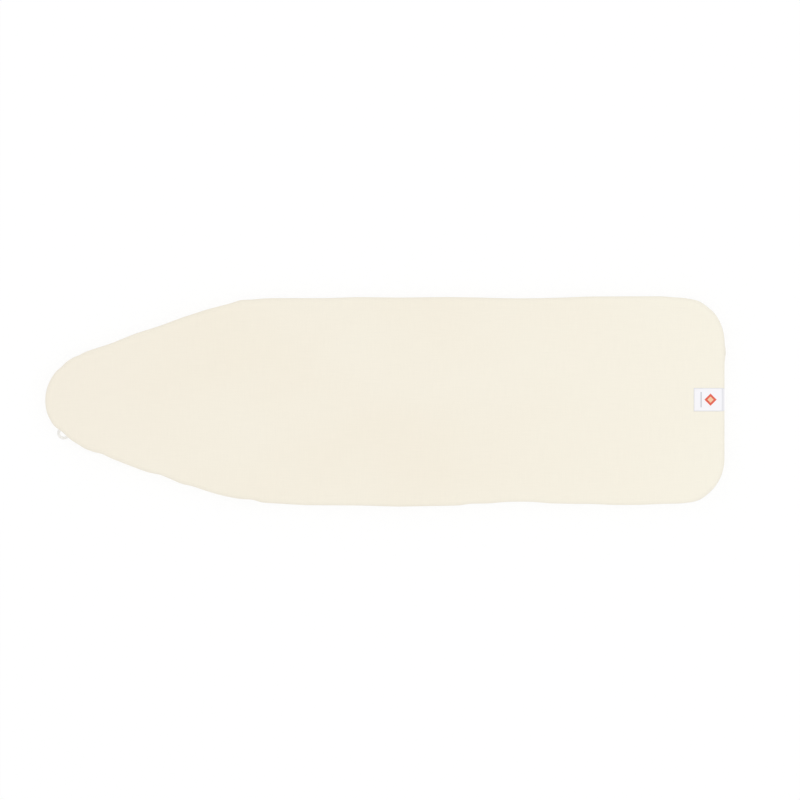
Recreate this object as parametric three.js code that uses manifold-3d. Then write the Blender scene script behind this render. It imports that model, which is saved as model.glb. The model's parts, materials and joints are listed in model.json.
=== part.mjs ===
// An ironing board cover in the shape it takes on its board: a cotton cover over a foam pad and a felt,
// with its edge turned under and gathered by a drawstring in a bound hem, a spring cord lock on the
// drawstring at the nose, and an elastic strap with two lever clips across the underside.
//
// Millimetres. +X runs from the round nose to the square tail, +Z up out of the ironing face, and the
// origin is on the surface that the hem rests on, under the middle of the cover.

import * as THREE from 'three';
import { mergeVertices } from 'three/addons/utils/BufferGeometryUtils.js';
import Module from 'manifold-3d';

const wasm = await Module();
wasm.setup();
const degree = Math.PI / 180;

// Driving dimensions: the outline seen from above.
const coverLength = 1240;
const coverWidth = 381;
const noseRadius = 90;
const nearTaperDegrees = 20;
const farTaperDegrees = 18.6;
const nearShoulderRadius = 600;
const farShoulderRadius = 350;
const tailCornerRadius = 84;

// Driving dimensions: the layers, from the ironing face down, and the board that they wrap.
const clothThickness = 0.8;
const foamThickness = 4;
const feltThickness = 4;
const boardThickness = 18;
const topEdgeRadius = 8;
const lowerEdgeRadius = 6;
const clearance = 0.3;

// Driving dimensions: the bound hem and the drawstring in it.
const drawstringDiameter = 2.4;
const hemInset = 52;
const hemGap = 40;
const tapeThickness = 0.6;
const bindingWidth = 11;
const clothInBinding = 8;
const gatherHeight = 1.4;

// Where the hem is lifted off the table, by the strap's clips and by the cord lock at the nose.
const clipLiftFall = 110;
const noseLiftFlat = 60;
const noseLiftFall = 110;

// The elastic strap, and how far it draws each side of the cover in.
const strapFromTail = 373;
const strapWidth = 20;
const strapThickness = 1.2;
const strapReturn = 18;
const nearDrawIn = 5.5;
const farDrawIn = 4.4;
const drawInFall = 95;

// The lever clip: a stamped plate with two ears, a grip pad under it, a lever with a cam, and the pin that
// it turns on.
const sheetThickness = 0.9;
const gripPadThickness = 0.8;
const plateReach = 8;
const plateCorner = 2.5;
const throatMargin = 0.6;
const earLength = 6.6;
const camRadius = 2.6;
const camHalfDegrees = 28;
const barrelRadius = 1.7;
const pinRadius = 0.75;
const pinHeadRadius = 1.5;
const pinHeadThickness = 0.6;
const leverWidth = 14.6;
const leverLength = 19;
const leverTipDrop = 2.2;
const leverTipLength = 3.5;
const leverCorner = 3.2;
const toothDepth = 0.4;
const slotWidth = 3.5;
const slotSideWall = 2.4;
const strapBarWidth = 2;
const joggleDrop = 1.8;
const joggleLength = 2.2;
const joggleFromThroat = 5;

// The spring cord lock on the two ends of the drawstring.
const lockFromNoseCentre = 56;
const lockWall = 1.2;
const lockTravel = 3.5;
const stemWall = 0.75;
const stemEndWall = 1.8;
const lockMouthWall = 1;
const buttonThickness = 3;
const buttonOverhang = 1;
const lockEdgeBevel = 0.8;
const springWire = 0.6;
const springTurns = 5;
const lockLipClearance = 3.2;

// The moulded end piece that joins the two ends of the drawstring.
const endPieceLength = 12;
const endPieceWall = 0.75;
const endPieceTaper = 1;
const endPieceSocket = 4;

// The woven label over the tail edge.
const labelLength = 54;
const labelWidth = 42;
const labelDrop = 8;
const labelThickness = 0.5;

// Facets round each form, and where the stations lie along the straight lines, as shares of their length.
const cordSides = 8;
const cordSteps = 76;
const roundSides = 20;
const noseSteps = 9;
const gapSteps = 4;
const cornerSteps = 9;
const shoulderSteps = 4;
const nearTaperShares = [0, 0.3, 0.65];
const farTaperShares = [0, 0.35, 0.7];
const tailShares = [0, 0.5];

// Heights, worked out from the table up. The cord lock lies on the table under the turned edge, and the
// clips hang under the board, so these two settle how high the board's underside is.
const strandPitch = drawstringDiameter + clearance;
const slotHeight = strandPitch + drawstringDiameter + 2 * clearance;
const slotLength = drawstringDiameter + 2 * clearance;
const stemRadius = slotHeight / 2 + stemWall;
const lockBore = stemRadius + clearance;
const lockRadius = lockBore + lockWall;
const lockHeight = lockRadius + clearance / 3;
const clothUnder = lockHeight + lockRadius + lockLipClearance + clearance / 3;
const boardUnder = clothUnder + clothThickness;
const feltUnder = boardUnder + boardThickness;
const foamUnder = feltUnder + feltThickness + clearance;
const clothInside = foamUnder + foamThickness + clearance;
const ironingFace = clothInside + clothThickness;

// The hem's section: a tape folded round the cloth's raw edge, with the drawstring in its fold.
const channelHalf = drawstringDiameter / 2 + clearance;
const beadHalf = channelHalf + tapeThickness;
const slitHalf = clothThickness / 2 + clearance;
const leafHalf = slitHalf + tapeThickness;
const plateTop = boardUnder - clearance;
const plateUnder = plateTop - sheetThickness;
const hemRest = beadHalf;
const gripFace = plateUnder - gripPadThickness;
const hemLifted = gripFace - clearance - beadHalf;

const halfLength = coverLength / 2;
const halfWidth = coverWidth / 2;
const strapX = halfLength - strapFromTail;
const clipHalfWidth = leverWidth / 2 + clearance + sheetThickness;

// How far from its flat middle a raised stretch has faded, from 1 down to 0.
function fade(distance, flat, fall) {
  return 1 - THREE.MathUtils.smoothstep(distance, flat, flat + fall);
}

function direction(degrees) {
  return new THREE.Vector2(Math.cos(degrees * degree), Math.sin(degrees * degree));
}

// The outline is followed anticlockwise from the gap in the hem. A station on it holds its place, the way
// outward, how much its turned edge is gathered, and how much its hem is lifted.
const nearTaperNormal = 270 - nearTaperDegrees;
const farTaperNormal = 90 + farTaperDegrees;
const noseCentre = new THREE.Vector2(noseRadius - halfLength, 0);
const hemRadiusAtNose = noseRadius - hemInset;
const gapHalfDegrees = hemGap / 2 / hemRadiusAtNose / degree;
const gapDegrees = nearTaperNormal - gapHalfDegrees;

// Centre of the shoulder arc that touches the taper line and the straight side.
function shoulderCentre(radius, normalDegrees, side) {
  const normal = direction(normalDegrees);
  const y = side * (halfWidth - radius);
  const taperOffset = noseCentre.dot(normal) + noseRadius;
  return new THREE.Vector2((taperOffset - radius - y * normal.y) / normal.x, y);
}

function arcStations(centre, radius, from, to, steps, gather) {
  return Array.from({ length: steps }, (_, i) => {
    const normal = direction(from + ((to - from) * i) / steps);
    const place = normal.clone().multiplyScalar(radius).add(centre);
    return { place, normal, gather: i > 0 ? gather : 0 };
  });
}

function lineStations(from, to, normalDegrees, shares) {
  return shares.map((share) => ({
    place: from.clone().lerp(to, share),
    normal: direction(normalDegrees),
    gather: 0,
  }));
}

// Stations on a straight side lie closest where the strap draws it in. The side starts at one place along X
// and stops short of another.
function sideStations(startX, endX, side, drawIn) {
  const way = Math.sign(endX - startX);
  const fallShares = [0, 0.3, 0.62, 1];
  const offsets = fallShares.map((share) => clipHalfWidth + share * drawInFall);
  const reach = offsets.at(-1);
  const places = [...offsets.map((offset) => -offset).reverse(), ...offsets];
  const xs = [
    startX,
    (startX + strapX - way * reach) / 2,
    ...places.map((offset) => strapX + way * offset),
    (endX + strapX + way * reach) / 2,
  ];
  return xs.map((x) => {
    const fromStrap = Math.abs(x - strapX);
    const depth = drawIn * fade(fromStrap, clipHalfWidth, drawInFall);
    return {
      place: new THREE.Vector2(x, side * (halfWidth - depth)),
      normal: new THREE.Vector2(0, side),
      gather: 0,
      lift: fade(fromStrap, clipHalfWidth, clipLiftFall),
    };
  });
}

function outlineStations() {
  const nearShoulder = shoulderCentre(nearShoulderRadius, nearTaperNormal, -1);
  const farShoulder = shoulderCentre(farShoulderRadius, farTaperNormal, 1);
  const cornerX = halfLength - tailCornerRadius;
  const cornerY = halfWidth - tailCornerRadius;
  const nearCorner = new THREE.Vector2(cornerX, -cornerY);
  const farCorner = new THREE.Vector2(cornerX, cornerY);
  const onArc = (centre, radius, degrees) => direction(degrees).multiplyScalar(radius).add(centre);
  const nearTaper = [
    onArc(noseCentre, noseRadius, nearTaperNormal),
    onArc(nearShoulder, nearShoulderRadius, nearTaperNormal),
  ];
  const farTaper = [
    onArc(farShoulder, farShoulderRadius, farTaperNormal),
    onArc(noseCentre, noseRadius, farTaperNormal),
  ];
  const tail = [onArc(nearCorner, tailCornerRadius, 0), onArc(farCorner, tailCornerRadius, 0)];
  const farGapEnd = gapDegrees - gapHalfDegrees;
  return {
    near: [
      ...arcStations(noseCentre, noseRadius, gapDegrees, nearTaperNormal, gapSteps, 0),
      ...lineStations(...nearTaper, nearTaperNormal, nearTaperShares),
      ...arcStations(nearShoulder, nearShoulderRadius, nearTaperNormal, 270, shoulderSteps, 0),
      ...sideStations(nearShoulder.x, cornerX, -1, nearDrawIn),
      ...arcStations(nearCorner, tailCornerRadius, 270, 360, cornerSteps, 1),
    ],
    tail: lineStations(...tail, 0, tailShares),
    far: [
      ...arcStations(farCorner, tailCornerRadius, 0, 90, cornerSteps, 1),
      ...sideStations(cornerX, farShoulder.x, 1, farDrawIn),
      ...arcStations(farShoulder, farShoulderRadius, 90, farTaperNormal, shoulderSteps, 0),
      ...lineStations(...farTaper, farTaperNormal, farTaperShares),
      ...arcStations(noseCentre, noseRadius, farTaperNormal, farGapEnd, noseSteps, 1),
      ...arcStations(noseCentre, noseRadius, farGapEnd, gapDegrees, gapSteps, 0),
    ],
  };
}

// Hands each station its distance from the gap, and from that how far its hem is lifted and its edge opened.
function measured(stations) {
  const around = [0];
  stations.forEach((station, i) => {
    const next = stations[(i + 1) % stations.length];
    around.push(around[i] + station.place.distanceTo(next.place));
  });
  const total = around[stations.length];
  const gapHalf = gapHalfDegrees * degree * noseRadius;
  return stations.map((station, i) => {
    const fromGap = Math.min(around[i], total - around[i]);
    const noseLift = fade(fromGap, noseLiftFlat, noseLiftFall);
    return {
      ...station,
      ripple: station.gather * gatherHeight * (i % 2 ? 1 : -1),
      lift: Math.max(station.lift ?? 0, noseLift),
      open: fade(fromGap, gapHalf / 2, gapHalf / 2),
    };
  });
}

const stretches = outlineStations();
const stations = measured([...stretches.near, ...stretches.tail, ...stretches.far]);
const hemStations = stations.slice(gapSteps, stations.length - gapSteps + 1);
const tailStart = stretches.near.length - gapSteps;
const tailEnd = tailStart + stretches.tail.length;

function hemHeight(station) {
  return THREE.MathUtils.lerp(hemRest, hemLifted, station.lift);
}

// A point of a station's section: inset in from the outline, at a height over the table.
function sectionPoint(station, inset, height) {
  const place = station.place.clone().addScaledVector(station.normal, -inset);
  return new THREE.Vector3(place.x, place.y, height);
}

// A closed body through a row of closed loops with as many points each, its ends filled by a flat cap.
// flatten gives the plane coordinates of a loop's points, in which the cap is cut into triangles.
function skinned(loops, flatten) {
  const count = loops[0].length;
  const index = [];
  for (let row = 0; row + 1 < loops.length; row++) {
    for (let i = 0; i < count; i++) {
      const a = row * count + i;
      const b = row * count + ((i + 1) % count);
      index.push(a, b, b + count, a, b + count, a + count);
    }
  }
  const last = (loops.length - 1) * count;
  const firstCap = THREE.ShapeUtils.triangulateShape(flatten(loops[0]), []);
  const lastCap = THREE.ShapeUtils.triangulateShape(flatten(loops[loops.length - 1]), []);
  const turned = THREE.ShapeUtils.area(flatten(loops[0])) > 0;
  const lastTurned = THREE.ShapeUtils.area(flatten(loops[loops.length - 1])) > 0;
  firstCap.forEach(([a, b, c]) => index.push(...(turned ? [a, c, b] : [a, b, c])));
  lastCap.forEach(([a, b, c]) => {
    const face = lastTurned ? [a, b, c] : [a, c, b];
    index.push(...face.map((corner) => last + corner));
  });
  const geometry = new THREE.BufferGeometry().setFromPoints(loops.flat());
  geometry.setIndex(signedVolume(loops.flat(), index) < 0 ? index.reverse() : index);
  return geometry.toNonIndexed();
}

function signedVolume(points, index) {
  let volume = 0;
  for (let i = 0; i < index.length; i += 3) {
    const [a, b, c] = index.slice(i, i + 3).map((corner) => points[corner]);
    volume += a.dot(b.clone().cross(c));
  }
  return volume;
}

const seenFromAbove = (loop) => loop.map((point) => new THREE.Vector2(point.x, point.y));

// Solids for the boolean joins and cuts.
function solidOf(geometry) {
  const bare = geometry.index ? geometry.toNonIndexed() : geometry.clone();
  bare.deleteAttribute('normal');
  bare.deleteAttribute('uv');
  const merged = mergeVertices(bare, 1e-4);
  return new wasm.Manifold(new wasm.Mesh({
    numProp: 3,
    vertProperties: merged.attributes.position.array,
    triVerts: new Uint32Array(merged.index.array),
  }));
}

function geometryOf(solid) {
  const mesh = solid.getMesh();
  const geometry = new THREE.BufferGeometry();
  geometry.setAttribute('position', new THREE.BufferAttribute(mesh.vertProperties, 3));
  geometry.setIndex(new THREE.BufferAttribute(mesh.triVerts, 1));
  const flat = geometry.toNonIndexed();
  flat.computeVertexNormals();
  return flat;
}

// A flat shape drawn on X and Y and raised from one height to another.
function raised(shape, from, to, curveSegments = 4) {
  return new THREE.ExtrudeGeometry(shape, { depth: to - from, bevelEnabled: false, curveSegments })
    .translate(0, 0, from);
}

// A side shape drawn on X and Z, centred on the middle plane and as wide as given along Y.
function sideCut(shape, width, curveSegments = 6) {
  return new THREE.ExtrudeGeometry(shape, { depth: width, bevelEnabled: false, curveSegments })
    .translate(0, 0, -width / 2)
    .rotateX(Math.PI / 2);
}

function roundedRectangle(left, right, halfHeight, leftRadius, rightRadius) {
  const shape = new THREE.Shape();
  shape.moveTo(left + leftRadius, -halfHeight);
  shape.lineTo(right - rightRadius, -halfHeight);
  shape.absarc(right - rightRadius, rightRadius - halfHeight, rightRadius, -Math.PI / 2, 0, false);
  shape.absarc(right - rightRadius, halfHeight - rightRadius, rightRadius, 0, Math.PI / 2, false);
  shape.absarc(left + leftRadius, halfHeight - leftRadius, leftRadius, Math.PI / 2, Math.PI, false);
  shape.absarc(left + leftRadius, leftRadius - halfHeight, leftRadius, Math.PI, 1.5 * Math.PI, false);
  return shape;
}

function circlePath(radius, x, y) {
  return new THREE.Path().absarc(x, y, radius, 0, 2 * Math.PI, true);
}

// Each soft layer has one finish, and each hard piece another.
const finishes = {
  cotton: { color: 0xf5eee0, roughness: 0.95, metalness: 0 },
  foam: { color: 0xf2f0ea, roughness: 1, metalness: 0 },
  felt: { color: 0xd9d8d4, roughness: 1, metalness: 0 },
  tape: { color: 0xf4eddc, roughness: 0.9, metalness: 0 },
  cord: { color: 0xf3f2ee, roughness: 0.8, metalness: 0 },
  plastic: { color: 0xf6f6f3, roughness: 0.4, metalness: 0 },
  rubber: { color: 0xe6e4dc, roughness: 0.8, metalness: 0 },
  springSteel: { color: 0xc6c8ca, roughness: 0.3, metalness: 1 },
  nickel: { color: 0xd2d0ca, roughness: 0.25, metalness: 1 },
  elastic: { color: 0xf4f3ef, roughness: 0.9, metalness: 0 },
  satin: { color: 0xf7f7fa, roughness: 0.5, metalness: 0 },
};

function piece(name, geometry, finish) {
  const mesh = new THREE.Mesh(geometry, new THREE.MeshStandardMaterial(finishes[finish]));
  mesh.name = name;
  return mesh;
}

// The cotton cover: the flat face, its round edge, the wall down the board's rim and the turned edge, whose
// gathers at the nose and the tail corners rise and fall by gatherHeight from one station to the next.
function cottonCover() {
  const hemEdge = hemInset - bindingWidth + clothInBinding;
  const leafTip = hemInset - bindingWidth - 2 * clearance;
  const turnedMiddle = (lowerEdgeRadius + leafTip) / 2;
  const wallFoot = clothUnder + lowerEdgeRadius;
  const cornerShare = 1 - Math.SQRT1_2;
  const endUnder = (station) => {
    const closed = hemHeight(station) - clothThickness / 2;
    return THREE.MathUtils.lerp(closed, clothUnder, station.open);
  };
  const middleUnder = (station) => (clothUnder + endUnder(station)) / 2 + station.ripple;
  const outside = [
    [topEdgeRadius, () => ironingFace],
    [topEdgeRadius * cornerShare, () => ironingFace - topEdgeRadius * cornerShare],
    [0, () => ironingFace - topEdgeRadius],
    [0, () => wallFoot],
    [lowerEdgeRadius * cornerShare, () => clothUnder + lowerEdgeRadius * cornerShare],
    [lowerEdgeRadius, () => clothUnder],
    [turnedMiddle, middleUnder],
    [leafTip, endUnder],
    [hemEdge, endUnder],
  ];
  const inside = [
    [hemEdge, (station) => endUnder(station) + clothThickness],
    [leafTip, (station) => endUnder(station) + clothThickness],
    [turnedMiddle, (station) => middleUnder(station) + clothThickness],
    [lowerEdgeRadius, () => boardUnder],
    [clothThickness, () => wallFoot],
    [clothThickness, () => ironingFace - topEdgeRadius],
    [topEdgeRadius, () => clothInside],
  ];
  const loops = [...outside, ...inside].map(([inset, height]) =>
    stations.map((station) => sectionPoint(station, inset, height(station))));
  return piece('cotton_cover', skinned(loops, seenFromAbove), 'cotton');
}

// A pad of the cover's outline whose edge leans in with the cloth's bend.
function pad(name, under, thickness, finish) {
  const bendFoot = ironingFace - topEdgeRadius;
  const bendInset = (height) => clothThickness + Math.max(0, height - bendFoot) + 2 * clearance;
  const heights = [under, Math.max(under, Math.min(bendFoot, under + thickness)), under + thickness];
  const loops = [...new Set(heights)].map((height) =>
    stations.map((station) => sectionPoint(station, bendInset(height), height)));
  return piece(name, skinned(loops, seenFromAbove), finish);
}

// The binding: a tape folded to a U round the raw edge of the cloth. Its section is swept along the hem, in
// three lengths that butt at the ends of the tail's straight stretch.
function hemBinding(name, line) {
  const bevelShare = 0.45;
  const leaf = -bindingWidth;
  const halfOutline = (half, leafEnd) => [
    [leaf, leafEnd],
    [-half * (1 - bevelShare), half],
    [half * bevelShare, half],
    [half, half * bevelShare],
  ];
  const mirror = (points) => points.map(([inward, up]) => [inward, -up]).reverse();
  const outer = halfOutline(beadHalf, leafHalf);
  const inner = halfOutline(channelHalf, slitHalf);
  const section = [...outer, ...mirror(outer), ...mirror(inner).reverse(), ...[...inner].reverse()];
  const loops = line.map((station) => section.map(([inward, up]) =>
    sectionPoint(station, hemInset + inward, hemHeight(station) + up)));
  const flatten = () => section.map(([inward, up]) => new THREE.Vector2(inward, up));
  return piece(name, skinned(loops, flatten), 'tape');
}

// The tail's stretch of the hem, a little short of its neighbours at both ends.
function tailLine() {
  const line = hemStations.slice(tailStart, tailEnd + 1);
  const drawnIn = (end, next) => {
    const way = next.place.clone().sub(end.place).normalize();
    return { ...end, place: end.place.clone().addScaledVector(way, clearance) };
  };
  return [drawnIn(line[0], line[1]), ...line.slice(1, -1), drawnIn(line.at(-1), line.at(-2))];
}

// A ring of points round a cord's centreline, square to a station's hem.
const cordRing = Array.from({ length: cordSides }, (_, i) => {
  const turn = ((i + 0.5) / cordSides) * 2 * Math.PI;
  return [Math.cos(turn), Math.sin(turn)].map((share) => (share * drawstringDiameter) / 2);
});

function drawstringInHem() {
  const loops = hemStations.map((station) => cordRing.map(([inward, up]) =>
    sectionPoint(station, hemInset + inward, hemHeight(station) + up)));
  const flatten = () => cordRing.map(([inward, up]) => new THREE.Vector2(inward, up));
  return piece('drawstring_in_hem', skinned(loops, flatten), 'cord');
}

// The free ends of the drawstring. Each leaves its end of the hem, turns out through the cord lock, bends
// back just past the nose's edge and lies on the table under the nose, up to the end piece. The points are
// millimetres out from the nose's centre towards the gap, along the nose's edge, and over the table.
const nearEndRoute = [
  [33.1, 18.8, 10.0], [35.4, 14.9, 9.9], [38.3, 9.9, 9.3], [41.4, 5.2, 8.3], [45.0, 1.5, 7.2],
  [49.0, 0.1, 6.6], [53.0, 0, 6.5], [60.0, 0, 6.5], [68.0, 0, 6.5], [75.0, 0, 6.5],
  [79.0, -0.8, 5.4], [82.7, -1.4, 4.1], [88.0, 0, 2.5], [92.0, 3.9, 1.5], [93.4, 9.3, 1.3],
  [92.0, 14.7, 1.3], [88.0, 18.6, 1.3], [82.7, 20.0, 1.3], [73.0, 19.6, 1.3], [62.0, 18.8, 1.3],
  [50.0, 17.8, 1.3], [38.2, 17.6, 1.3], [26.5, 18.6, 1.3], [14.6, 21.2, 1.3], [2.6, 25.3, 1.3],
  [-9.4, 30.4, 1.7], [-20.4, 35.3, 3.1], [-27.4, 38.6, 3.7], [-31.0, 40.3, 3.7],
];
const farEndRoute = [
  [33.1, -18.8, 10.0], [35.4, -14.9, 9.5], [38.3, -9.9, 8.2], [41.4, -5.2, 6.3], [45.0, -1.5, 4.6],
  [49.0, -0.1, 3.9], [53.0, 0, 3.8], [60.0, 0, 3.8], [68.0, 0, 3.8], [75.0, 0, 3.8],
  [79.0, 0.8, 2.7], [82.7, 1.4, 1.6], [86.7, 2.4, 1.3], [89.5, 5.4, 1.3], [90.6, 9.3, 1.3],
  [89.5, 13.2, 1.3], [86.7, 16.2, 1.3], [82.7, 17.2, 1.3], [73.0, 16.8, 1.3], [62.0, 16.0, 1.3],
  [50.0, 15.0, 1.3], [37.8, 14.8, 1.3], [25.5, 15.8, 1.3], [13.4, 18.5, 1.3], [1.4, 22.6, 1.3],
  [-10.6, 27.7, 1.7], [-21.6, 32.7, 3.1], [-28.6, 36.0, 3.7], [-32.2, 37.7, 3.7],
];

// Places a point of the frame at the gap: out from the nose's centre, along the edge, and up.
function atGap([out, along, up]) {
  const outward = direction(gapDegrees);
  const place = outward.clone().multiplyScalar(out).add(noseCentre);
  place.addScaledVector(direction(gapDegrees + 90), along);
  return new THREE.Vector3(place.x, place.y, up);
}

function freeEnd(name, route) {
  const line = new THREE.CatmullRomCurve3(route.map(atGap), false, 'centripetal');
  line.arcLengthDivisions = 400;
  const section = new THREE.Shape(cordRing.map(([x, y]) => new THREE.Vector2(x, y)));
  return piece(name, new THREE.ExtrudeGeometry(section, { steps: cordSteps, extrudePath: line }), 'cord');
}

// Turns a shape drawn on X and Y, and raised along Z, so that it is drawn on Y and Z and runs along X.
const alongX = new THREE.Matrix4().set(0, 0, 1, 0, 1, 0, 0, 0, 0, 1, 0, 0, 0, 0, 0, 1);
const slotCornerShare = 0.35;

// An upright oval hole for the two strands, one over the other, drawn on Y and Z and cut along X.
function strandHole(fromY, toY, reach) {
  const middle = (fromY + toY) / 2;
  const corner = slotLength * slotCornerShare;
  const shape = roundedRectangle(fromY - middle, toY - middle, slotHeight / 2, corner, corner);
  return new THREE.ExtrudeGeometry(shape, { depth: 2 * reach, bevelEnabled: false, curveSegments: 3 })
    .translate(middle, 0, -reach)
    .applyMatrix4(alongX);
}

// The cord lock, in a frame whose X is the way the strands run and whose Y is the barrel's axis.
const strandHalf = slotLength / 2;
const stemInner = -strandHalf - stemEndWall;
const springLength = lockTravel + (springTurns + 1) * springWire + clearance;
const barrelInner = stemInner - springLength;
const barrelFoot = barrelInner - lockWall;
const plungerHoleEnd = strandHalf + lockTravel;
const barrelMouth = plungerHoleEnd + lockMouthWall;
const buttonUnder = barrelMouth + lockTravel + clearance;

function turned(profile, segments = roundSides) {
  return new THREE.LatheGeometry(profile.map(([radius, along]) => new THREE.Vector2(radius, along)), segments);
}

function cordLockBarrel() {
  const bevel = lockEdgeBevel;
  const shell = turned([
    [0, barrelFoot],
    [lockRadius - bevel, barrelFoot],
    [lockRadius, barrelFoot + bevel],
    [lockRadius, barrelMouth - bevel / 2],
    [lockRadius - bevel / 2, barrelMouth],
    [lockBore, barrelMouth],
    [lockBore, barrelInner],
    [0, barrelInner],
  ]);
  const hole = strandHole(-strandHalf, strandHalf, 2 * lockRadius);
  return piece('cord_lock_barrel', geometryOf(solidOf(shell).subtract(solidOf(hole))), 'plastic');
}

function cordLockButton() {
  const headRadius = stemRadius + buttonOverhang;
  const bevel = lockEdgeBevel;
  const stem = turned([
    [0, stemInner],
    [stemRadius, stemInner],
    [stemRadius, buttonUnder],
    [headRadius, buttonUnder],
    [headRadius, buttonUnder + buttonThickness - bevel],
    [headRadius - bevel, buttonUnder + buttonThickness],
    [0, buttonUnder + buttonThickness],
  ]);
  const hole = strandHole(-strandHalf, plungerHoleEnd, 2 * lockRadius);
  return piece('cord_lock_button', geometryOf(solidOf(stem).subtract(solidOf(hole))), 'plastic');
}

// The spring is one round wire wound as a helix between the barrel's floor and the button's stem.
function cordLockSpring() {
  const helixRadius = lockBore - 2 * clearance - springWire;
  const from = barrelInner + clearance + springWire / 2;
  const to = stemInner - clearance - springWire / 2;
  const stepsPerTurn = 10;
  const wireSides = 5;
  const steps = springTurns * stepsPerTurn;
  const loops = Array.from({ length: steps + 1 }, (_, i) => {
    const turn = (i / stepsPerTurn) * 2 * Math.PI;
    const outward = new THREE.Vector3(Math.cos(turn), 0, Math.sin(turn));
    const centre = outward.clone().multiplyScalar(helixRadius).setY(from + ((to - from) * i) / steps);
    return Array.from({ length: wireSides }, (_, side) => {
      const angle = (side / wireSides) * 2 * Math.PI;
      const rise = new THREE.Vector3(0, Math.sin(angle), 0);
      return rise.addScaledVector(outward, Math.cos(angle)).multiplyScalar(springWire / 2).add(centre);
    });
  });
  const flatten = () => Array.from({ length: wireSides }, (_, side) => {
    const angle = (side / wireSides) * 2 * Math.PI;
    return new THREE.Vector2(Math.cos(angle), Math.sin(angle));
  });
  return piece('cord_lock_spring', skinned(loops, flatten), 'springSteel');
}

function cordLock() {
  const group = new THREE.Group();
  group.position.copy(atGap([lockFromNoseCentre, 0, lockHeight]));
  group.rotation.z = gapDegrees * degree;
  group.add(cordLockBarrel(), cordLockButton(), cordLockSpring());
  return group;
}

// The end piece is a small tapered moulding whose socket holds the ends of both strands.
function cordEndPiece() {
  const mouthRadius = slotHeight / 2 + endPieceWall;
  const tipRadius = mouthRadius - endPieceTaper;
  const bevel = lockEdgeBevel;
  const body = turned([
    [0, 0],
    [mouthRadius, 0],
    [tipRadius, endPieceLength - bevel],
    [tipRadius - bevel, endPieceLength],
    [0, endPieceLength],
  ], 16).rotateZ(-Math.PI / 2);
  const corner = slotLength * slotCornerShare;
  const mouth = roundedRectangle(-slotHeight / 2, slotHeight / 2, slotLength / 2, corner, corner);
  const socket = raised(mouth, -clearance, endPieceSocket, 3).applyMatrix4(alongX);
  const mesh = piece('cord_end_piece', geometryOf(solidOf(body).subtract(solidOf(socket))), 'plastic');
  const nearTip = atGap(nearEndRoute.at(-1));
  const farTip = atGap(farEndRoute.at(-1));
  const run = nearTip.clone().sub(atGap(nearEndRoute.at(-2))).setZ(0).normalize();
  const middle = nearTip.clone().add(farTip).multiplyScalar(0.5);
  mesh.position.copy(middle.addScaledVector(run, clearance - endPieceSocket));
  mesh.rotation.z = Math.atan2(run.y, run.x);
  return mesh;
}

// The lever clip, in a frame whose X points out to the hem that it holds, whose Y runs along the hem, and
// whose origin is on the table under the drawstring.
const camFace = hemLifted - beadHalf - clearance;
const pivotHeight = camFace - camRadius;
const pinHole = pinRadius + clearance;
const throat = -beadHalf - throatMargin;
const earBack = throat - earLength;
const joggleStart = throat - joggleFromThroat;
const joggleEnd = joggleStart - joggleLength;
const slotOuter = joggleEnd - clearance;
const slotInner = slotOuter - slotWidth;
const plateEnd = slotInner - strapBarWidth;
const earInner = leverWidth / 2 + clearance;

// The plate's side view, as thick as the sheet, with the step that drops the strap's bar under the plate.
function plateSide() {
  const shape = new THREE.Shape();
  shape.moveTo(plateReach, plateTop);
  shape.lineTo(joggleStart, plateTop);
  shape.lineTo(joggleEnd, plateTop - joggleDrop);
  shape.lineTo(plateEnd, plateTop - joggleDrop);
  shape.lineTo(plateEnd, plateUnder - joggleDrop);
  shape.lineTo(joggleEnd, plateUnder - joggleDrop);
  shape.lineTo(joggleStart, plateUnder);
  shape.lineTo(plateReach, plateUnder);
  return shape;
}

// An ear's side view: it comes down behind the hem and reaches under it to carry the lever's pin.
function earSide() {
  const eye = barrelRadius + clearance;
  const armTop = camFace - clearance;
  const shape = new THREE.Shape();
  shape.moveTo(earBack, plateTop - sheetThickness / 2);
  shape.lineTo(earBack, pivotHeight + eye);
  shape.quadraticCurveTo(earBack, pivotHeight - eye, earBack / 2, pivotHeight - eye);
  shape.lineTo(0, pivotHeight - eye);
  shape.absarc(0, pivotHeight, eye, -Math.PI / 2, 0, false);
  shape.lineTo(eye, armTop - eye / 4);
  shape.lineTo(eye - eye / 4, armTop);
  shape.lineTo(throat + eye / 2, armTop);
  shape.quadraticCurveTo(throat, armTop, throat, armTop + eye / 2);
  shape.lineTo(throat, plateTop - sheetThickness / 2);
  shape.holes.push(circlePath(pinHole, 0, pivotHeight));
  return shape;
}

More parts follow.
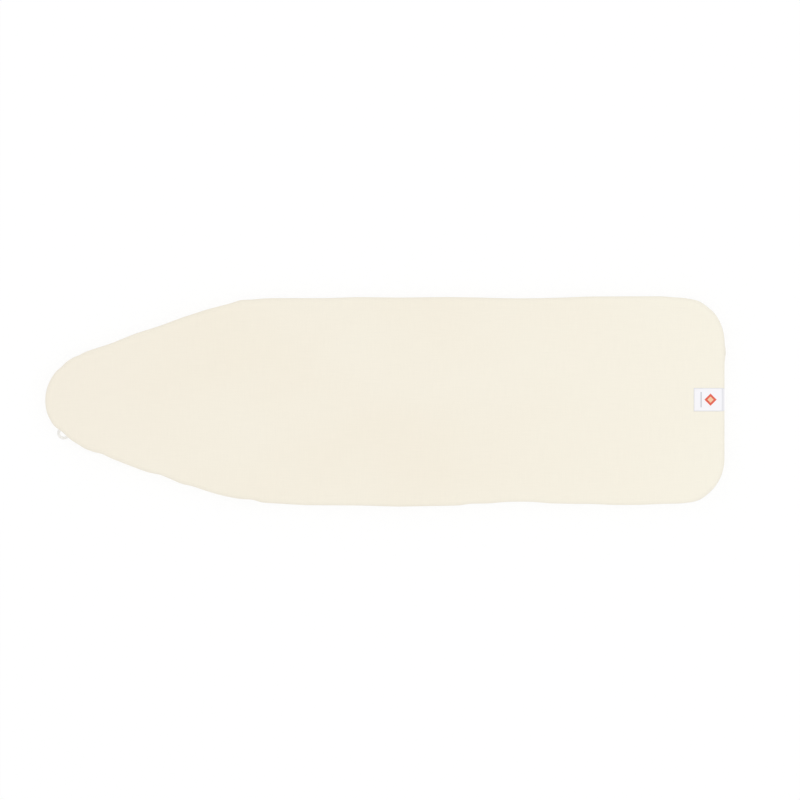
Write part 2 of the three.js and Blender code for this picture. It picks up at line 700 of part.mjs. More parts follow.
function clipPlate(name) {
  const headHalf = strapWidth / 2 + clearance + slotSideWall;
  const noseHalf = clipHalfWidth;
  const outline = new THREE.Shape();
  outline.moveTo(plateEnd + plateCorner, -headHalf);
  outline.lineTo(slotOuter, -headHalf);
  outline.quadraticCurveTo(joggleStart, -headHalf, joggleStart, -noseHalf);
  outline.lineTo(plateReach - plateCorner, -noseHalf);
  outline.absarc(plateReach - plateCorner, plateCorner - noseHalf, plateCorner, -Math.PI / 2, 0, false);
  outline.absarc(plateReach - plateCorner, noseHalf - plateCorner, plateCorner, 0, Math.PI / 2, false);
  outline.lineTo(joggleStart, noseHalf);
  outline.quadraticCurveTo(joggleStart, headHalf, slotOuter, headHalf);
  outline.absarc(plateEnd + plateCorner, headHalf - plateCorner, plateCorner, Math.PI / 2, Math.PI, false);
  outline.absarc(plateEnd + plateCorner, plateCorner - headHalf, plateCorner, Math.PI, 1.5 * Math.PI, false);
  const slot = roundedRectangle(slotInner, slotOuter, strapWidth / 2 + clearance, slotWidth / 4,
    slotWidth / 4);
  const sheet = solidOf(sideCut(plateSide(), 2 * headHalf + sheetThickness))
    .intersect(solidOf(raised(outline, 0, boardUnder)))
    .subtract(solidOf(raised(slot, 0, boardUnder)));
  const ears = [-1, 1].map((side) => solidOf(sideCut(earSide(), sheetThickness, 4)
    .translate(0, side * (earInner + sheetThickness / 2), 0)));
  return piece(name, geometryOf(sheet.add(ears[0]).add(ears[1])), 'nickel');
}

// The grip pad is pressed into the plate's underside, over the hem.
function gripPad(name) {
  const shape = roundedRectangle(throat + clearance, plateReach - plateCorner / 2, leverWidth / 2,
    plateCorner / 2, plateCorner / 2);
  return piece(name, raised(shape, gripFace, plateUnder), 'rubber');
}

// The lever: a rolled eye round the pin, a toothed cam over it and a flat handle with a turned-down tip.
function leverSide() {
  const start = (90 - camHalfDegrees) * degree;
  const end = (90 + camHalfDegrees) * degree;
  const teeth = 3;
  const handleUnder = pivotHeight - barrelRadius;
  const handleTop = handleUnder + sheetThickness;
  const tipStart = leverTipLength - leverLength;
  const shape = new THREE.Shape();
  const around = (radius, angle) => [radius * Math.cos(angle), pivotHeight + radius * Math.sin(angle)];
  shape.moveTo(0, handleUnder);
  shape.absarc(0, pivotHeight, barrelRadius, -Math.PI / 2, start, false);
  for (let tooth = 0; tooth < teeth; tooth++) {
    const from = start + ((end - start) * tooth) / teeth;
    const crest = start + ((end - start) * (tooth + 0.5)) / teeth;
    shape.lineTo(...around(camRadius - toothDepth, from));
    shape.lineTo(...around(camRadius, crest));
  }
  shape.lineTo(...around(camRadius - toothDepth, end));
  shape.lineTo(...around(barrelRadius, end));
  shape.absarc(0, pivotHeight, barrelRadius, end, Math.PI, false);
  shape.lineTo(-barrelRadius - sheetThickness, handleTop);
  shape.lineTo(tipStart, handleTop);
  shape.lineTo(-leverLength, handleTop - leverTipDrop);
  shape.lineTo(-leverLength, handleUnder - leverTipDrop);
  shape.lineTo(tipStart, handleUnder);
  shape.holes.push(circlePath(pinHole, 0, pivotHeight));
  return shape;
}

function clipLever(name) {
  const plan = roundedRectangle(-leverLength - clearance, camRadius + clearance, leverWidth / 2, leverCorner,
    clearance);
  const lever = solidOf(sideCut(leverSide(), leverWidth + sheetThickness))
    .intersect(solidOf(raised(plan, -boardUnder, boardUnder)));
  return piece(name, geometryOf(lever), 'nickel');
}

function clipPin(name) {
  const shank = earInner + sheetThickness + clearance;
  const end = shank + pinHeadThickness;
  const pin = turned([
    [0, -end],
    [pinHeadRadius, -end],
    [pinHeadRadius, -shank],
    [pinRadius, -shank],
    [pinRadius, shank],
    [pinHeadRadius, shank],
    [pinHeadRadius, end],
    [0, end],
  ], 12).translate(0, 0, pivotHeight);
  return piece(name, pin, 'nickel');
}

// Where the strap's two clips hold the hem, and which way each faces.
const clipPlaces = [
  { side: 'near', hemY: hemInset + nearDrawIn - halfWidth, facing: -90 },
  { side: 'far', hemY: halfWidth - farDrawIn - hemInset, facing: 90 },
];

function leverClip({ side, hemY, facing }) {
  const group = new THREE.Group();
  group.position.set(strapX, hemY, 0);
  group.rotation.z = facing * degree;
  group.add(
    clipPlate(`clip_plate_${side}`),
    gripPad(`clip_grip_pad_${side}`),
    clipLever(`clip_lever_${side}`),
    clipPin(`clip_pin_${side}`),
  );
  return group;
}

// The elastic strap runs flat between the clips. Each end goes round its clip's bar and is sewn back.
function elasticStrap() {
  const barMiddle = plateTop - joggleDrop - sheetThickness / 2;
  const loopInner = (sheetThickness / 2) * Math.SQRT2 + clearance;
  const loopOuter = loopInner + strapThickness;
  const bend = slotInner + clearance - loopInner;
  const far = clipPlaces[1].hemY + bend;
  const near = clipPlaces[0].hemY - bend;
  const backFrom = (end, way) => end - way * (strapReturn + strapBarWidth);
  const shape = new THREE.Shape();
  shape.moveTo(near, barMiddle + loopOuter);
  shape.absarc(near, barMiddle, loopOuter, Math.PI / 2, 1.5 * Math.PI, false);
  shape.lineTo(backFrom(near, -1), barMiddle - loopOuter);
  shape.lineTo(backFrom(near, -1), barMiddle - loopInner);
  shape.lineTo(near, barMiddle - loopInner);
  shape.absarc(near, barMiddle, loopInner, 1.5 * Math.PI, Math.PI / 2, true);
  shape.lineTo(far, barMiddle + loopInner);
  shape.absarc(far, barMiddle, loopInner, Math.PI / 2, -Math.PI / 2, true);
  shape.lineTo(backFrom(far, 1), barMiddle - loopInner);
  shape.lineTo(backFrom(far, 1), barMiddle - loopOuter);
  shape.lineTo(far, barMiddle - loopOuter);
  shape.absarc(far, barMiddle, loopOuter, -Math.PI / 2, Math.PI / 2, false);
  const strap = sideCut(shape, strapWidth).rotateZ(Math.PI / 2).translate(strapX, 0, 0);
  return piece('elastic_strap', strap, 'elastic');
}

// The label lies on the ironing face, goes over the tail's round edge and down its wall.
function wovenLabel() {
  const cornerShare = 1 - Math.SQRT1_2;
  const path = [
    [halfLength - labelLength, ironingFace],
    [halfLength - topEdgeRadius, ironingFace],
    [halfLength - topEdgeRadius * cornerShare, ironingFace - topEdgeRadius * cornerShare],
    [halfLength, ironingFace - topEdgeRadius],
    [halfLength, ironingFace - topEdgeRadius - labelDrop],
  ].map(([x, z]) => new THREE.Vector2(x, z));
  const lifted = (distance) => path.map((point, i) => {
    const before = path[Math.max(i - 1, 0)];
    const after = path[Math.min(i + 1, path.length - 1)];
    const along = (from, to) => to.clone().sub(from).normalize();
    const first = i > 0 ? along(before, point) : along(point, after);
    const second = i < path.length - 1 ? along(point, after) : first;
    const out = new THREE.Vector2(-first.y - second.y, first.x + second.x).normalize();
    return point.clone().addScaledVector(out, distance / out.dot(new THREE.Vector2(-first.y, first.x)));
  });
  const shape = new THREE.Shape([...lifted(clearance), ...lifted(clearance + labelThickness).reverse()]);
  return piece('woven_label', sideCut(shape, labelWidth), 'satin');
}

const cover = new THREE.Group();
cover.add(
  cottonCover(),
  pad('foam_pad', foamUnder, foamThickness, 'foam'),
  pad('felt_pad', feltUnder, feltThickness, 'felt'),
  hemBinding('hem_binding_near', hemStations.slice(0, tailStart + 1)),
  hemBinding('hem_binding_tail', tailLine()),
  hemBinding('hem_binding_far', hemStations.slice(tailEnd)),
  drawstringInHem(),
  freeEnd('drawstring_end_near', nearEndRoute),
  freeEnd('drawstring_end_far', farEndRoute),
  cordEndPiece(),
  cordLock(),
  elasticStrap(),
  ...clipPlaces.map(leverClip),
  wovenLabel(),
);

export default cover;
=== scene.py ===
# %% [markdown]
# # An ironing board cover, seen from straight above
#
# The cover keeps the shape of its board: a flat cotton face over foam and felt, a soft round edge, and a
# turned-under edge that a drawstring gathers on the underside. Almost everything in the photo is one pale
# cloth, so the lesson is about a smooth surface, its edge and its true scale. All lengths are in metres,
# and +X runs from the round nose to the square tail.

import json
import math

import bmesh
import bpy
import numpy as np
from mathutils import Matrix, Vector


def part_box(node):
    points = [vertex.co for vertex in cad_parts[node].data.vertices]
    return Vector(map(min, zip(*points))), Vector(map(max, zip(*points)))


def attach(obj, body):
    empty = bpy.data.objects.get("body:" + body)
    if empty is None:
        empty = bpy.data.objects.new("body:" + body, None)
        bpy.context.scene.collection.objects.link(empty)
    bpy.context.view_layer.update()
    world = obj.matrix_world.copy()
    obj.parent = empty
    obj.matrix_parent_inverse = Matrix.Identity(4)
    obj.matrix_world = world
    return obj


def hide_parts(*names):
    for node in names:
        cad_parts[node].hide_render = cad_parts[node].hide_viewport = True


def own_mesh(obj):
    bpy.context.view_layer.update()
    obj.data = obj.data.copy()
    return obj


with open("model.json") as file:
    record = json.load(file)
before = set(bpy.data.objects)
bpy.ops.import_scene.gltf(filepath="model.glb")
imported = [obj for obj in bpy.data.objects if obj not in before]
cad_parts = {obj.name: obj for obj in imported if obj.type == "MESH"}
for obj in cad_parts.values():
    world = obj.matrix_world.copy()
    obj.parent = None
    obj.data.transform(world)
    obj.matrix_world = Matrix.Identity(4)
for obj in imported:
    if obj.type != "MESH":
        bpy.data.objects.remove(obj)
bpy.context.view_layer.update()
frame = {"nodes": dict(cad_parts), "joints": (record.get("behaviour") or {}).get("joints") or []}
MM = 0.001
UP = np.array([0.0, 0.0, 1.0])
cover_low, cover_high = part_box("cotton_cover")
COVER_LENGTH = cover_high.x - cover_low.x
COVER_WIDTH = cover_high.y - cover_low.y
FACE_HEIGHT = cover_high.z
print("CAD nodes:", len(frame["nodes"]))
print("cover in mm:", [round(side / MM, 1) for side in cover_high - cover_low])

# %% [markdown]
# ## The camera
#
# The photo looks straight down and shows no side wall at all, so it was taken from far away with a long
# lens. A camera ten metres up gives the same flat look. An orthographic one would look nearly the same, but
# this one sees as a photographer's lens does. The focal length follows from how wide the photo is at the
# height of the ironing face. Blender takes the sensor and the lens in millimetres.

# %% Camera
PHOTO_WIDTH = 1458.8 * MM
CAMERA_HEIGHT = 10.0
CAMERA_X, CAMERA_Y = 28.3 * MM, 0.6 * MM
SENSOR_WIDTH = 36.0

camera_data = bpy.data.cameras.new("camera")
camera_data.sensor_width = SENSOR_WIDTH
camera_data.lens = SENSOR_WIDTH * CAMERA_HEIGHT / PHOTO_WIDTH
camera = bpy.data.objects.new("camera", camera_data)
camera.location = (CAMERA_X, CAMERA_Y, CAMERA_HEIGHT + FACE_HEIGHT)
bpy.context.scene.collection.objects.link(camera)
bpy.context.scene.camera = camera
print("lens:", round(camera_data.lens, 1), "mm")

# %% [markdown]
# ## Surfaces from arrays
#
# Every new piece is a grid of points: rows run one way over the surface and columns the other way, round
# it. Points could also be moved by hand, but a formula can be read, checked and changed by one number. One
# helper turns such a grid into a mesh that is closed round its columns. Whether the faces point outwards is
# found from the sign of the volume that they enclose.


# %% Grid to mesh
def closed_cells(grid):
    """Four corners for each cell of a grid whose last column joins its first, and the first and last row
    as two caps. All are turned outwards, by the sign of the sum of a . (b x c) over the cells' triangles."""
    rows, columns = grid.shape[:2]
    j, i = np.meshgrid(np.arange(rows - 1), np.arange(columns), indexing="ij")
    across = (i + 1) % columns
    corners = [j * columns + i, j * columns + across, (j + 1) * columns + across, (j + 1) * columns + i]
    cells = np.stack([corner.ravel() for corner in corners], axis=1)
    ring = np.arange(columns)
    caps = np.stack([ring[::-1], ring + (rows - 1) * columns])
    a, b, c, d = (grid.reshape(-1, 3)[cells[:, k]] for k in range(4))
    volume = (a * np.cross(b, c)).sum() + (a * np.cross(c, d)).sum()
    return (cells[:, ::-1], caps[:, ::-1]) if volume < 0 else (cells, caps)


def add_mesh(name, points, polygons, body):
    """A smooth mesh object that rides on a body."""
    mesh = bpy.data.meshes.new(name)
    mesh.from_pydata(points.reshape(-1, 3).tolist(), [], polygons)
    mesh.shade_smooth()
    made = bpy.data.objects.new(name, mesh)
    bpy.context.scene.collection.objects.link(made)
    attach(made, body)
    return made


def add_surface(name, grid, body="cover", cap_ends=False, uv=None):
    """The mesh of a (rows, columns, 3) grid of points, with its two end rows closed or left open. uv is a
    (rows, columns, 2) grid that is laid over the faces."""
    cells, caps = closed_cells(grid)
    made = add_mesh(name, grid, cells.tolist() + (caps.tolist() if cap_ends else []), body)
    if uv is not None:
        corner_points = np.zeros(len(made.data.loops), np.int32)
        made.data.loops.foreach_get("vertex_index", corner_points)
        layer = made.data.uv_layers.new(name="cloth")
        layer.data.foreach_set("uv", uv.reshape(-1, 2)[corner_points].astype(np.float32).ravel())
    return made


print("grid helpers ready")


# %% Lines, rings and bands
def unit(vectors):
    """Each vector divided by its own length."""
    return vectors / np.maximum(np.linalg.norm(vectors, axis=-1, keepdims=True), 1e-12)


def way_along(line):
    """The unit direction of a line at each of its points."""
    return unit(np.gradient(line, axis=0))


def length_along(line):
    """Distance from the line's start to each of its points."""
    steps = np.linalg.norm(np.diff(line, axis=0), axis=1)
    return np.concatenate([[0.0], np.cumsum(steps)])


def at_marks(values, run, marks):
    """Values at marks on a run, straight between the places that they are given at."""
    return np.column_stack([np.interp(marks, run, column) for column in values.T])


def evenly(line, step):
    """The same line with its points an equal distance apart."""
    run = length_along(line)
    return at_marks(line, run, np.linspace(0, run[-1], int(round(run[-1] / step)) + 1))


def rings(line, first, second, radius, sides):
    """Circles round a line: centre + radius (cos a first + sin a second), where first and second are
    directions square to the line."""
    turn = np.arange(sides) / sides * 2 * np.pi
    ring = np.cos(turn)[None, :, None] * first[:, None] + np.sin(turn)[None, :, None] * second[:, None]
    return line[:, None] + radius * ring


def quarter_turn(way):
    """Directions in a plane turned by a quarter: (-second, first)."""
    return np.column_stack([-way[:, 1], way[:, 0]])


def band_grid(line, across, level):
    """A band carried along a line in a plane: (first, across, second), where first and second are the
    line's place plus the level times the direction square to it. Columns go over the band and back."""
    square = quarter_turn(way_along(line))
    first, second = (line[:, k, None] + square[:, k, None] * level for k in range(2))
    return np.stack([first, np.broadcast_to(across, first.shape), second], axis=2)


def uv_grid(columns_value, rows_value):
    """U is a value for each column, and V is a value for each row."""
    return np.stack(np.broadcast_arrays(columns_value[None, :], rows_value[:, None]), axis=2)


print("line helpers ready")

# %% [markdown]
# ## The free ends of the drawstring
#
# Both ends of the drawstring leave the hem at the nose, pass through a cord lock, and bend back just past
# the edge, where the photo shows the bow peeping out. They lie on the table under the nose and end in one
# small moulding. The route is the CAD model's: the same points, in the frame of the gap in the hem, which
# are millimetres outward from the nose's centre, along its edge, and up. A curve object with a round bevel
# would make a cord as well. Rings along the line are used, because they also give a UV map in metres.

# %% Routes of the two ends
NEAR_ROUTE = [
    (33.1, 18.8, 10.0), (35.4, 14.9, 9.9), (38.3, 9.9, 9.3), (41.4, 5.2, 8.3), (45.0, 1.5, 7.2),
    (49.0, 0.1, 6.6), (53.0, 0, 6.5), (60.0, 0, 6.5), (68.0, 0, 6.5), (75.0, 0, 6.5),
    (79.0, -0.8, 5.4), (82.7, -1.4, 4.1), (88.0, 0, 2.5), (92.0, 3.9, 1.5), (93.4, 9.3, 1.3),
    (92.0, 14.7, 1.3), (88.0, 18.6, 1.3), (82.7, 20.0, 1.3), (73.0, 19.6, 1.3), (62.0, 18.8, 1.3),
    (50.0, 17.8, 1.3), (38.2, 17.6, 1.3), (26.5, 18.6, 1.3), (14.6, 21.2, 1.3), (2.6, 25.3, 1.3),
    (-9.4, 30.4, 1.7), (-20.4, 35.3, 3.1), (-27.4, 38.6, 3.7), (-31.0, 40.3, 3.7),
]
FAR_ROUTE = [
    (33.1, -18.8, 10.0), (35.4, -14.9, 9.5), (38.3, -9.9, 8.2), (41.4, -5.2, 6.3), (45.0, -1.5, 4.6),
    (49.0, -0.1, 3.9), (53.0, 0, 3.8), (60.0, 0, 3.8), (68.0, 0, 3.8), (75.0, 0, 3.8),
    (79.0, 0.8, 2.7), (82.7, 1.4, 1.6), (86.7, 2.4, 1.3), (89.5, 5.4, 1.3), (90.6, 9.3, 1.3),
    (89.5, 13.2, 1.3), (86.7, 16.2, 1.3), (82.7, 17.2, 1.3), (73.0, 16.8, 1.3), (62.0, 16.0, 1.3),
    (50.0, 15.0, 1.3), (37.8, 14.8, 1.3), (25.5, 15.8, 1.3), (13.4, 18.5, 1.3), (1.4, 22.6, 1.3),
    (-10.6, 27.7, 1.7), (-21.6, 32.7, 3.1), (-28.6, 36.0, 3.7), (-32.2, 37.7, 3.7),
]
DRAWSTRING = 2.4 * MM
CORD_STEP = 0.5 * MM
HEM_INSET = 52.0 * MM
HEM_GAP = 40.0 * MM
NOSE_RADIUS = 90.0 * MM
NOSE_CENTRE = np.array([NOSE_RADIUS - COVER_LENGTH / 2, 0.0])
NEAR_TAPER = math.radians(20.0)
GAP_HALF = HEM_GAP / 2 / (NOSE_RADIUS - HEM_INSET)
GAP_ANGLE = 1.5 * math.pi - NEAR_TAPER - GAP_HALF
GAP_WAY = np.array([math.cos(GAP_ANGLE), math.sin(GAP_ANGLE)])


def at_gap(route):
    """Turns (outward, along, up) in millimetres into points of the frame, in metres."""
    out, along, up = np.array(route).T * MM
    flat = NOSE_CENTRE + out[:, None] * GAP_WAY + along[:, None] * [-GAP_WAY[1], GAP_WAY[0]]
    return np.column_stack([flat, up])


def smooth_line(points, per_span=12):
    """Centripetal Catmull-Rom curve through the points: in each span a cubic whose end slopes come from
    the neighbours, weighed by the square roots of the spans' lengths."""
    ends = [2 * points[:1] - points[1:2], points, 2 * points[-1:] - points[-2:-1]]
    padded = np.concatenate(ends)
    p0, p1, p2, p3 = padded[:-3], padded[1:-2], padded[2:-1], padded[3:]
    root = np.sqrt(np.linalg.norm(np.diff(padded, axis=0), axis=1, keepdims=True))
    d0, d1, d2 = root[:-2], root[1:-1], root[2:]
    start = d1 * ((p1 - p0) / d0 - (p2 - p0) / (d0 + d1) + (p2 - p1) / d1)
    end = d1 * ((p2 - p1) / d1 - (p3 - p1) / (d1 + d2) + (p3 - p2) / d2)
    t = (np.arange(per_span) / per_span)[None, :, None]
    cubic = 2 * p1 - 2 * p2 + start + end
    square = -3 * p1 + 3 * p2 - 2 * start - end
    spans = p1[:, None] + start[:, None] * t + square[:, None] * t**2 + cubic[:, None] * t**3
    return np.concatenate([spans.reshape(-1, points.shape[1]), points[-1:]])


def add_cord(name, line, sides=16):
    """A round cord along a line, with a UV map for the braid: turns round it in U, metres along it in V.
    Where the last strip meets the first, its corners at no turn are set to one whole turn."""
    along = way_along(line)
    sideways = unit(np.cross(along, UP))
    grid = rings(line, sideways, np.cross(sideways, along), DRAWSTRING / 2, sides)
    cord = add_surface(name, grid, cap_ends=True, uv=uv_grid(np.arange(sides) / sides, length_along(line)))
    layer = cord.data.uv_layers["cloth"].data
    corner_uv = np.zeros(2 * len(layer), np.float32)
    layer.foreach_get("uv", corner_uv)
    strip_corners = 4 * sides * (len(line) - 1)
    turns = corner_uv.reshape(-1, 2)[:strip_corners, 0].reshape(-1, 4)
    turns += turns.max(axis=1, keepdims=True) - turns > 0.5
    layer.foreach_set("uv", corner_uv)
    return cord


near_line = evenly(smooth_line(at_gap(NEAR_ROUTE)), CORD_STEP)
far_line = evenly(smooth_line(at_gap(FAR_ROUTE)), CORD_STEP)
near_end = add_cord("drawstring_end_near_cord", near_line)
far_end = add_cord("drawstring_end_far_cord", far_line)
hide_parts("drawstring_end_near")
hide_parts("drawstring_end_far")
print("cord points:", len(near_line), len(far_line))

# %% [markdown]
# ## The spring of the cord lock
#
# A compression spring sits between the barrel's floor and the button's stem. It is round wire wound as a
# helix whose pitch is smallest at both ends, where real springs are closed so that they stand square. A
# Screw modifier could wind it, but only at one pitch. It has to shorten when the button is pressed, which a
# rigid piece can't. Its length and radius are read from the CAD node that it stands for.

# %% Spring
SPRING_WIRE = 0.6 * MM
SPRING_TURNS = 5
CLOSED_PITCH = 0.62 * MM

press_joint = next(joint for joint in frame["joints"] if joint["name"] == "cord_lock_press")
lock_way = unit(np.array(press_joint["axis"], float))
lock_axes = np.array([lock_way, np.cross(UP, lock_way), UP])
spring_node = frame["nodes"]["cord_lock_spring"].data.vertices
spring_points = np.zeros(3 * len(spring_node), np.float32)
spring_node.foreach_get("co", spring_points)
spring_points = spring_points.reshape(-1, 3) @ lock_axes.T
spring_low, spring_high = spring_points.min(axis=0), spring_points.max(axis=0)
spring_length = spring_high[0] - spring_low[0]


def helix(steps_per_turn=24):
    """Centre points and outward directions in the lock's own axes. The pitch is a closed pitch plus a share
    of sin squared of pi times the share of the way, so the height is the integral of that."""
    share = np.linspace(0, 1, SPRING_TURNS * steps_per_turn + 1)
    turn = share * SPRING_TURNS * 2 * np.pi
    swell = 2 * ((spring_length - SPRING_WIRE) / SPRING_TURNS - CLOSED_PITCH)
    opened_share = share / 2 - np.sin(2 * np.pi * share) / (4 * np.pi)
    out = np.column_stack([np.zeros(len(turn)), np.cos(turn), np.sin(turn)])
    radius = (spring_high[2] - spring_low[2] - SPRING_WIRE) / 2
    centre = (spring_low + spring_high) / 2 + radius * out
    height = SPRING_TURNS * (CLOSED_PITCH * share + swell * opened_share)
    centre[:, 0] = spring_low[0] + SPRING_WIRE / 2 + height
    return centre, out


coil, coil_out = helix()
spring_grid = rings(coil, coil_out, np.cross(way_along(coil), coil_out), SPRING_WIRE / 2, sides=10)
spring = add_surface("cord_lock_spring_wire", spring_grid @ lock_axes, "cord_lock", cap_ends=True)
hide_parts("cord_lock_spring")
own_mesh(spring)

print("cord lengths in mm:", [round(length_along(line)[-1] / MM, 1) for line in (near_line, far_line)])

# %% [markdown]
# ## The outline
#
# From above, each long side is made of the same six stretches: half of the nose arc, the straight taper,
# the shoulder arc, the straight side, the tail corner, and half of the tail. The two sides differ a
# little: the near shoulder is gentler, and the elastic strap underneath draws the near side in more.
# Both sides get the same number of stations, so that a station always has a partner across the board. A
# line traced by hand could give the outline too, but radii and angles can be checked on a real board.

# %% Sizes of the outline
TAIL_RADIUS = 84.0 * MM
STRAP_X = 247.0 * MM
CLIP_HALF_WIDTH = 8.5 * MM
DRAW_IN_FALL = 95.0 * MM
SIDES = {
    "near": {"side": -1, "taper": NEAR_TAPER, "shoulder": 600.0 * MM, "draw_in": 5.5 * MM},
    "far": {"side": 1, "taper": math.radians(18.6), "shoulder": 350.0 * MM, "draw_in": 4.4 * MM},
}
NOSE_COUNT, TAPER_COUNT, SHOULDER_COUNT, SIDE_COUNT, CORNER_COUNT, TAIL_COUNT = 180, 84, 56, 180, 104, 36
# A station faces the side or the tail when that share of its outward direction is over the limit.
FACES_SIDE = 0.999
FACES_TAIL = 0.7


def ease(t):
    """A smooth step from 0 to 1."""
    return t * t * (3 - 2 * t)


def fade(distance, flat, fall):
    """One up to flat, then a smooth step down to nothing over the fall."""
    return 1 - ease(np.clip((distance - flat) / fall, 0, 1))


def arc(centre, radius, start, stop, count):
    """Places on a circle and the directions outward from its centre."""
    turn = np.linspace(start, stop, count, endpoint=False)
    normal = np.column_stack([np.cos(turn), np.sin(turn)])
    return centre + radius * normal, normal


def straight(start, stop, normal, count):
    """Places on a line from start towards stop, with one outward direction."""
    share = np.linspace(0, 1, count, endpoint=False)[:, None]
    return start + (stop - start) * share, np.tile(normal, (count, 1))


def half_outline(side, taper, shoulder, draw_in):
    """Stations from the nose's tip to the middle of the tail, on the far side (1) or the near side (-1).
    It is worked out for the far side; the near side is its mirror image."""
    nose = NOSE_CENTRE
    normal = np.array([-math.sin(taper), math.cos(taper)])
    y = COVER_WIDTH / 2 - shoulder
    x = (nose @ normal + NOSE_RADIUS - shoulder - y * normal[1]) / normal[0]
    centre = np.array([x, y])
    corner = np.array([COVER_LENGTH / 2 - TAIL_RADIUS, COVER_WIDTH / 2 - TAIL_RADIUS])
    tail = np.array([COVER_LENGTH / 2, 0.0])
    taper_turn = math.pi / 2 + taper
    pieces = [
        arc(nose, NOSE_RADIUS, math.pi, taper_turn, NOSE_COUNT),
        straight(nose + NOSE_RADIUS * normal, centre + shoulder * normal, normal, TAPER_COUNT),
        arc(centre, shoulder, taper_turn, math.pi / 2, SHOULDER_COUNT),
        straight(np.array([x, COVER_WIDTH / 2]), corner + [0, TAIL_RADIUS], [0.0, 1.0], SIDE_COUNT),
        arc(corner, TAIL_RADIUS, math.pi / 2, 0, CORNER_COUNT),
        straight(corner + [TAIL_RADIUS, 0], tail, [1.0, 0.0], TAIL_COUNT),
        (tail[None], [[1.0, 0.0]]),
    ]
    place, outward = (np.concatenate(parts) for parts in zip(*pieces))
    at_strap = fade(np.abs(place[:, 0] - STRAP_X), CLIP_HALF_WIDTH, DRAW_IN_FALL)
    place[:, 1] -= draw_in * at_strap * (np.abs(outward[:, 1]) > FACES_SIDE)
    return place * [1, side], outward * [1, side]


def way_round(line):
    """The step from each station of a closed line to the next, and the distance run before each station."""
    steps = np.linalg.norm(np.roll(line, -1, axis=0) - line, axis=1)
    return steps, np.cumsum(steps) - steps


near_place, near_normal = half_outline(**SIDES["near"])
far_place, far_normal = half_outline(**SIDES["far"])
place = np.concatenate([near_place, far_place[-2:0:-1]])
normal = np.concatenate([near_normal, far_normal[-2:0:-1]])
partner_x = (near_place[:, 0] + far_place[:, 0]) / 2
spine_x = np.clip(partner_x, NOSE_CENTRE[0], COVER_LENGTH / 2 - TAIL_RADIUS)
spine_x = np.concatenate([spine_x, spine_x[-2:0:-1]])
stations = len(place)
steps, around = way_round(place)
perimeter = steps.sum()
print("stations:", stations, "perimeter in mm:", round(perimeter / MM))

# %% [markdown]
# ## How the soft edge drifts
#
# Cloth over foam never keeps the board's exact outline. Seen from above, the edge stands a few millimetres
# in or out of it, differently at each place: the drawstring pulls flats and one dent into the nose, and the
# pads are a little full on the near side and slack on the far side. The places were judged on the photo and
# are rounded. Between them the drift is blurred, so that it has no corners. Noise would be as uneven, but
# not in the places where this cover is.

# %% Drift of the edge
# Degrees round the nose's centre, and millimetres outward.
NOSE_DRIFT = [(90, -1), (102, -1), (109, -4.5), (115, -2.5), (122, -4), (127, -2.5), (133, -6), (140, -3),
              (155, -2), (170, -1), (195, -1), (207, -3), (213, -2.5), (218, -6), (222, -8), (230, -8.5),
              (238, -6.5), (250, -5), (258, -1), (270, -1)]  # fmt: skip
# Millimetres from the cover's middle towards the tail, and millimetres outward.
NEAR_DRIFT = [(-530, -1), (-518, -3.5), (-500, -1), (-455, 0), (-430, 0), (-410, -4), (-370, -1),
              (-355, -4), (-300, -2), (-263, -2), (-240, -5), (-228, -1), (-190, -1.5), (-140, 1),
              (-40, 1.5), (25, 3.5), (137, 1.5), (156, -2), (192, 0.5), (225, 0), (270, 0), (302, 0.5),
              (331, -1.5), (375, -1.5), (419, 0.5), (463, 0.5), (506, -1.5), (550, -2.5), (575, 1),
              (590, 0)]  # fmt: skip
FAR_DRIFT = [(-530, -1), (-499, -1.5), (-455, 1.5), (-412, 0.5), (-368, 2), (-324, 1.5), (-280, -1.5),
             (-263, 1), (-245, -2.5), (-193, -4), (-105, -4), (-50, -2), (25, -3), (113, -2), (156, -2.5),
             (225, 0), (270, 0), (331, -2.5), (375, -1), (506, -0.5), (535, -3), (557, -3), (575, 0),
             (590, -1)]  # fmt: skip
TAIL_DRIFT = 0.5 * MM
DRIFT_BLUR = 6.0 * MM
NOSE_MARGIN = 0.5 * MM


def drift_along(table, where):
    """The table's drift in metres at each of these places, straight between its rows."""
    places, drifts = np.array(table).T
    return np.interp(where, places, drifts) * MM


def shorter_way(a, b):
    """The shorter of the two ways round the cover between distances a and b."""
    way = np.abs(a - b)
    return np.minimum(way, perimeter - way)


def blurred(values, reach):
    """Mean of the values weighed by a bell curve of the distance round the cover."""
    weight = np.exp(-0.5 * (shorter_way(around[:, None], around[None, :]) / reach) ** 2) * steps[None, :]
    return (weight * values[None, :]).sum(axis=1) / weight.sum(axis=1)


from_nose = place - NOSE_CENTRE
on_nose = np.linalg.norm(from_nose, axis=1) < NOSE_RADIUS + NOSE_MARGIN
nose_turn = np.degrees(np.arctan2(from_nose[:, 1], from_nose[:, 0]) % (2 * np.pi))
side_drift = [drift_along(table, place[:, 0] / MM) for table in (FAR_DRIFT, NEAR_DRIFT)]
drift = np.where(on_nose, drift_along(NOSE_DRIFT, nose_turn), np.where(place[:, 1] > 0, *side_drift))
drift = blurred(np.where(normal[:, 0] > FACES_TAIL, TAIL_DRIFT, drift), DRIFT_BLUR)
print("drift in mm:", round(drift.min() / MM, 1), "to", round(drift.max() / MM, 1))

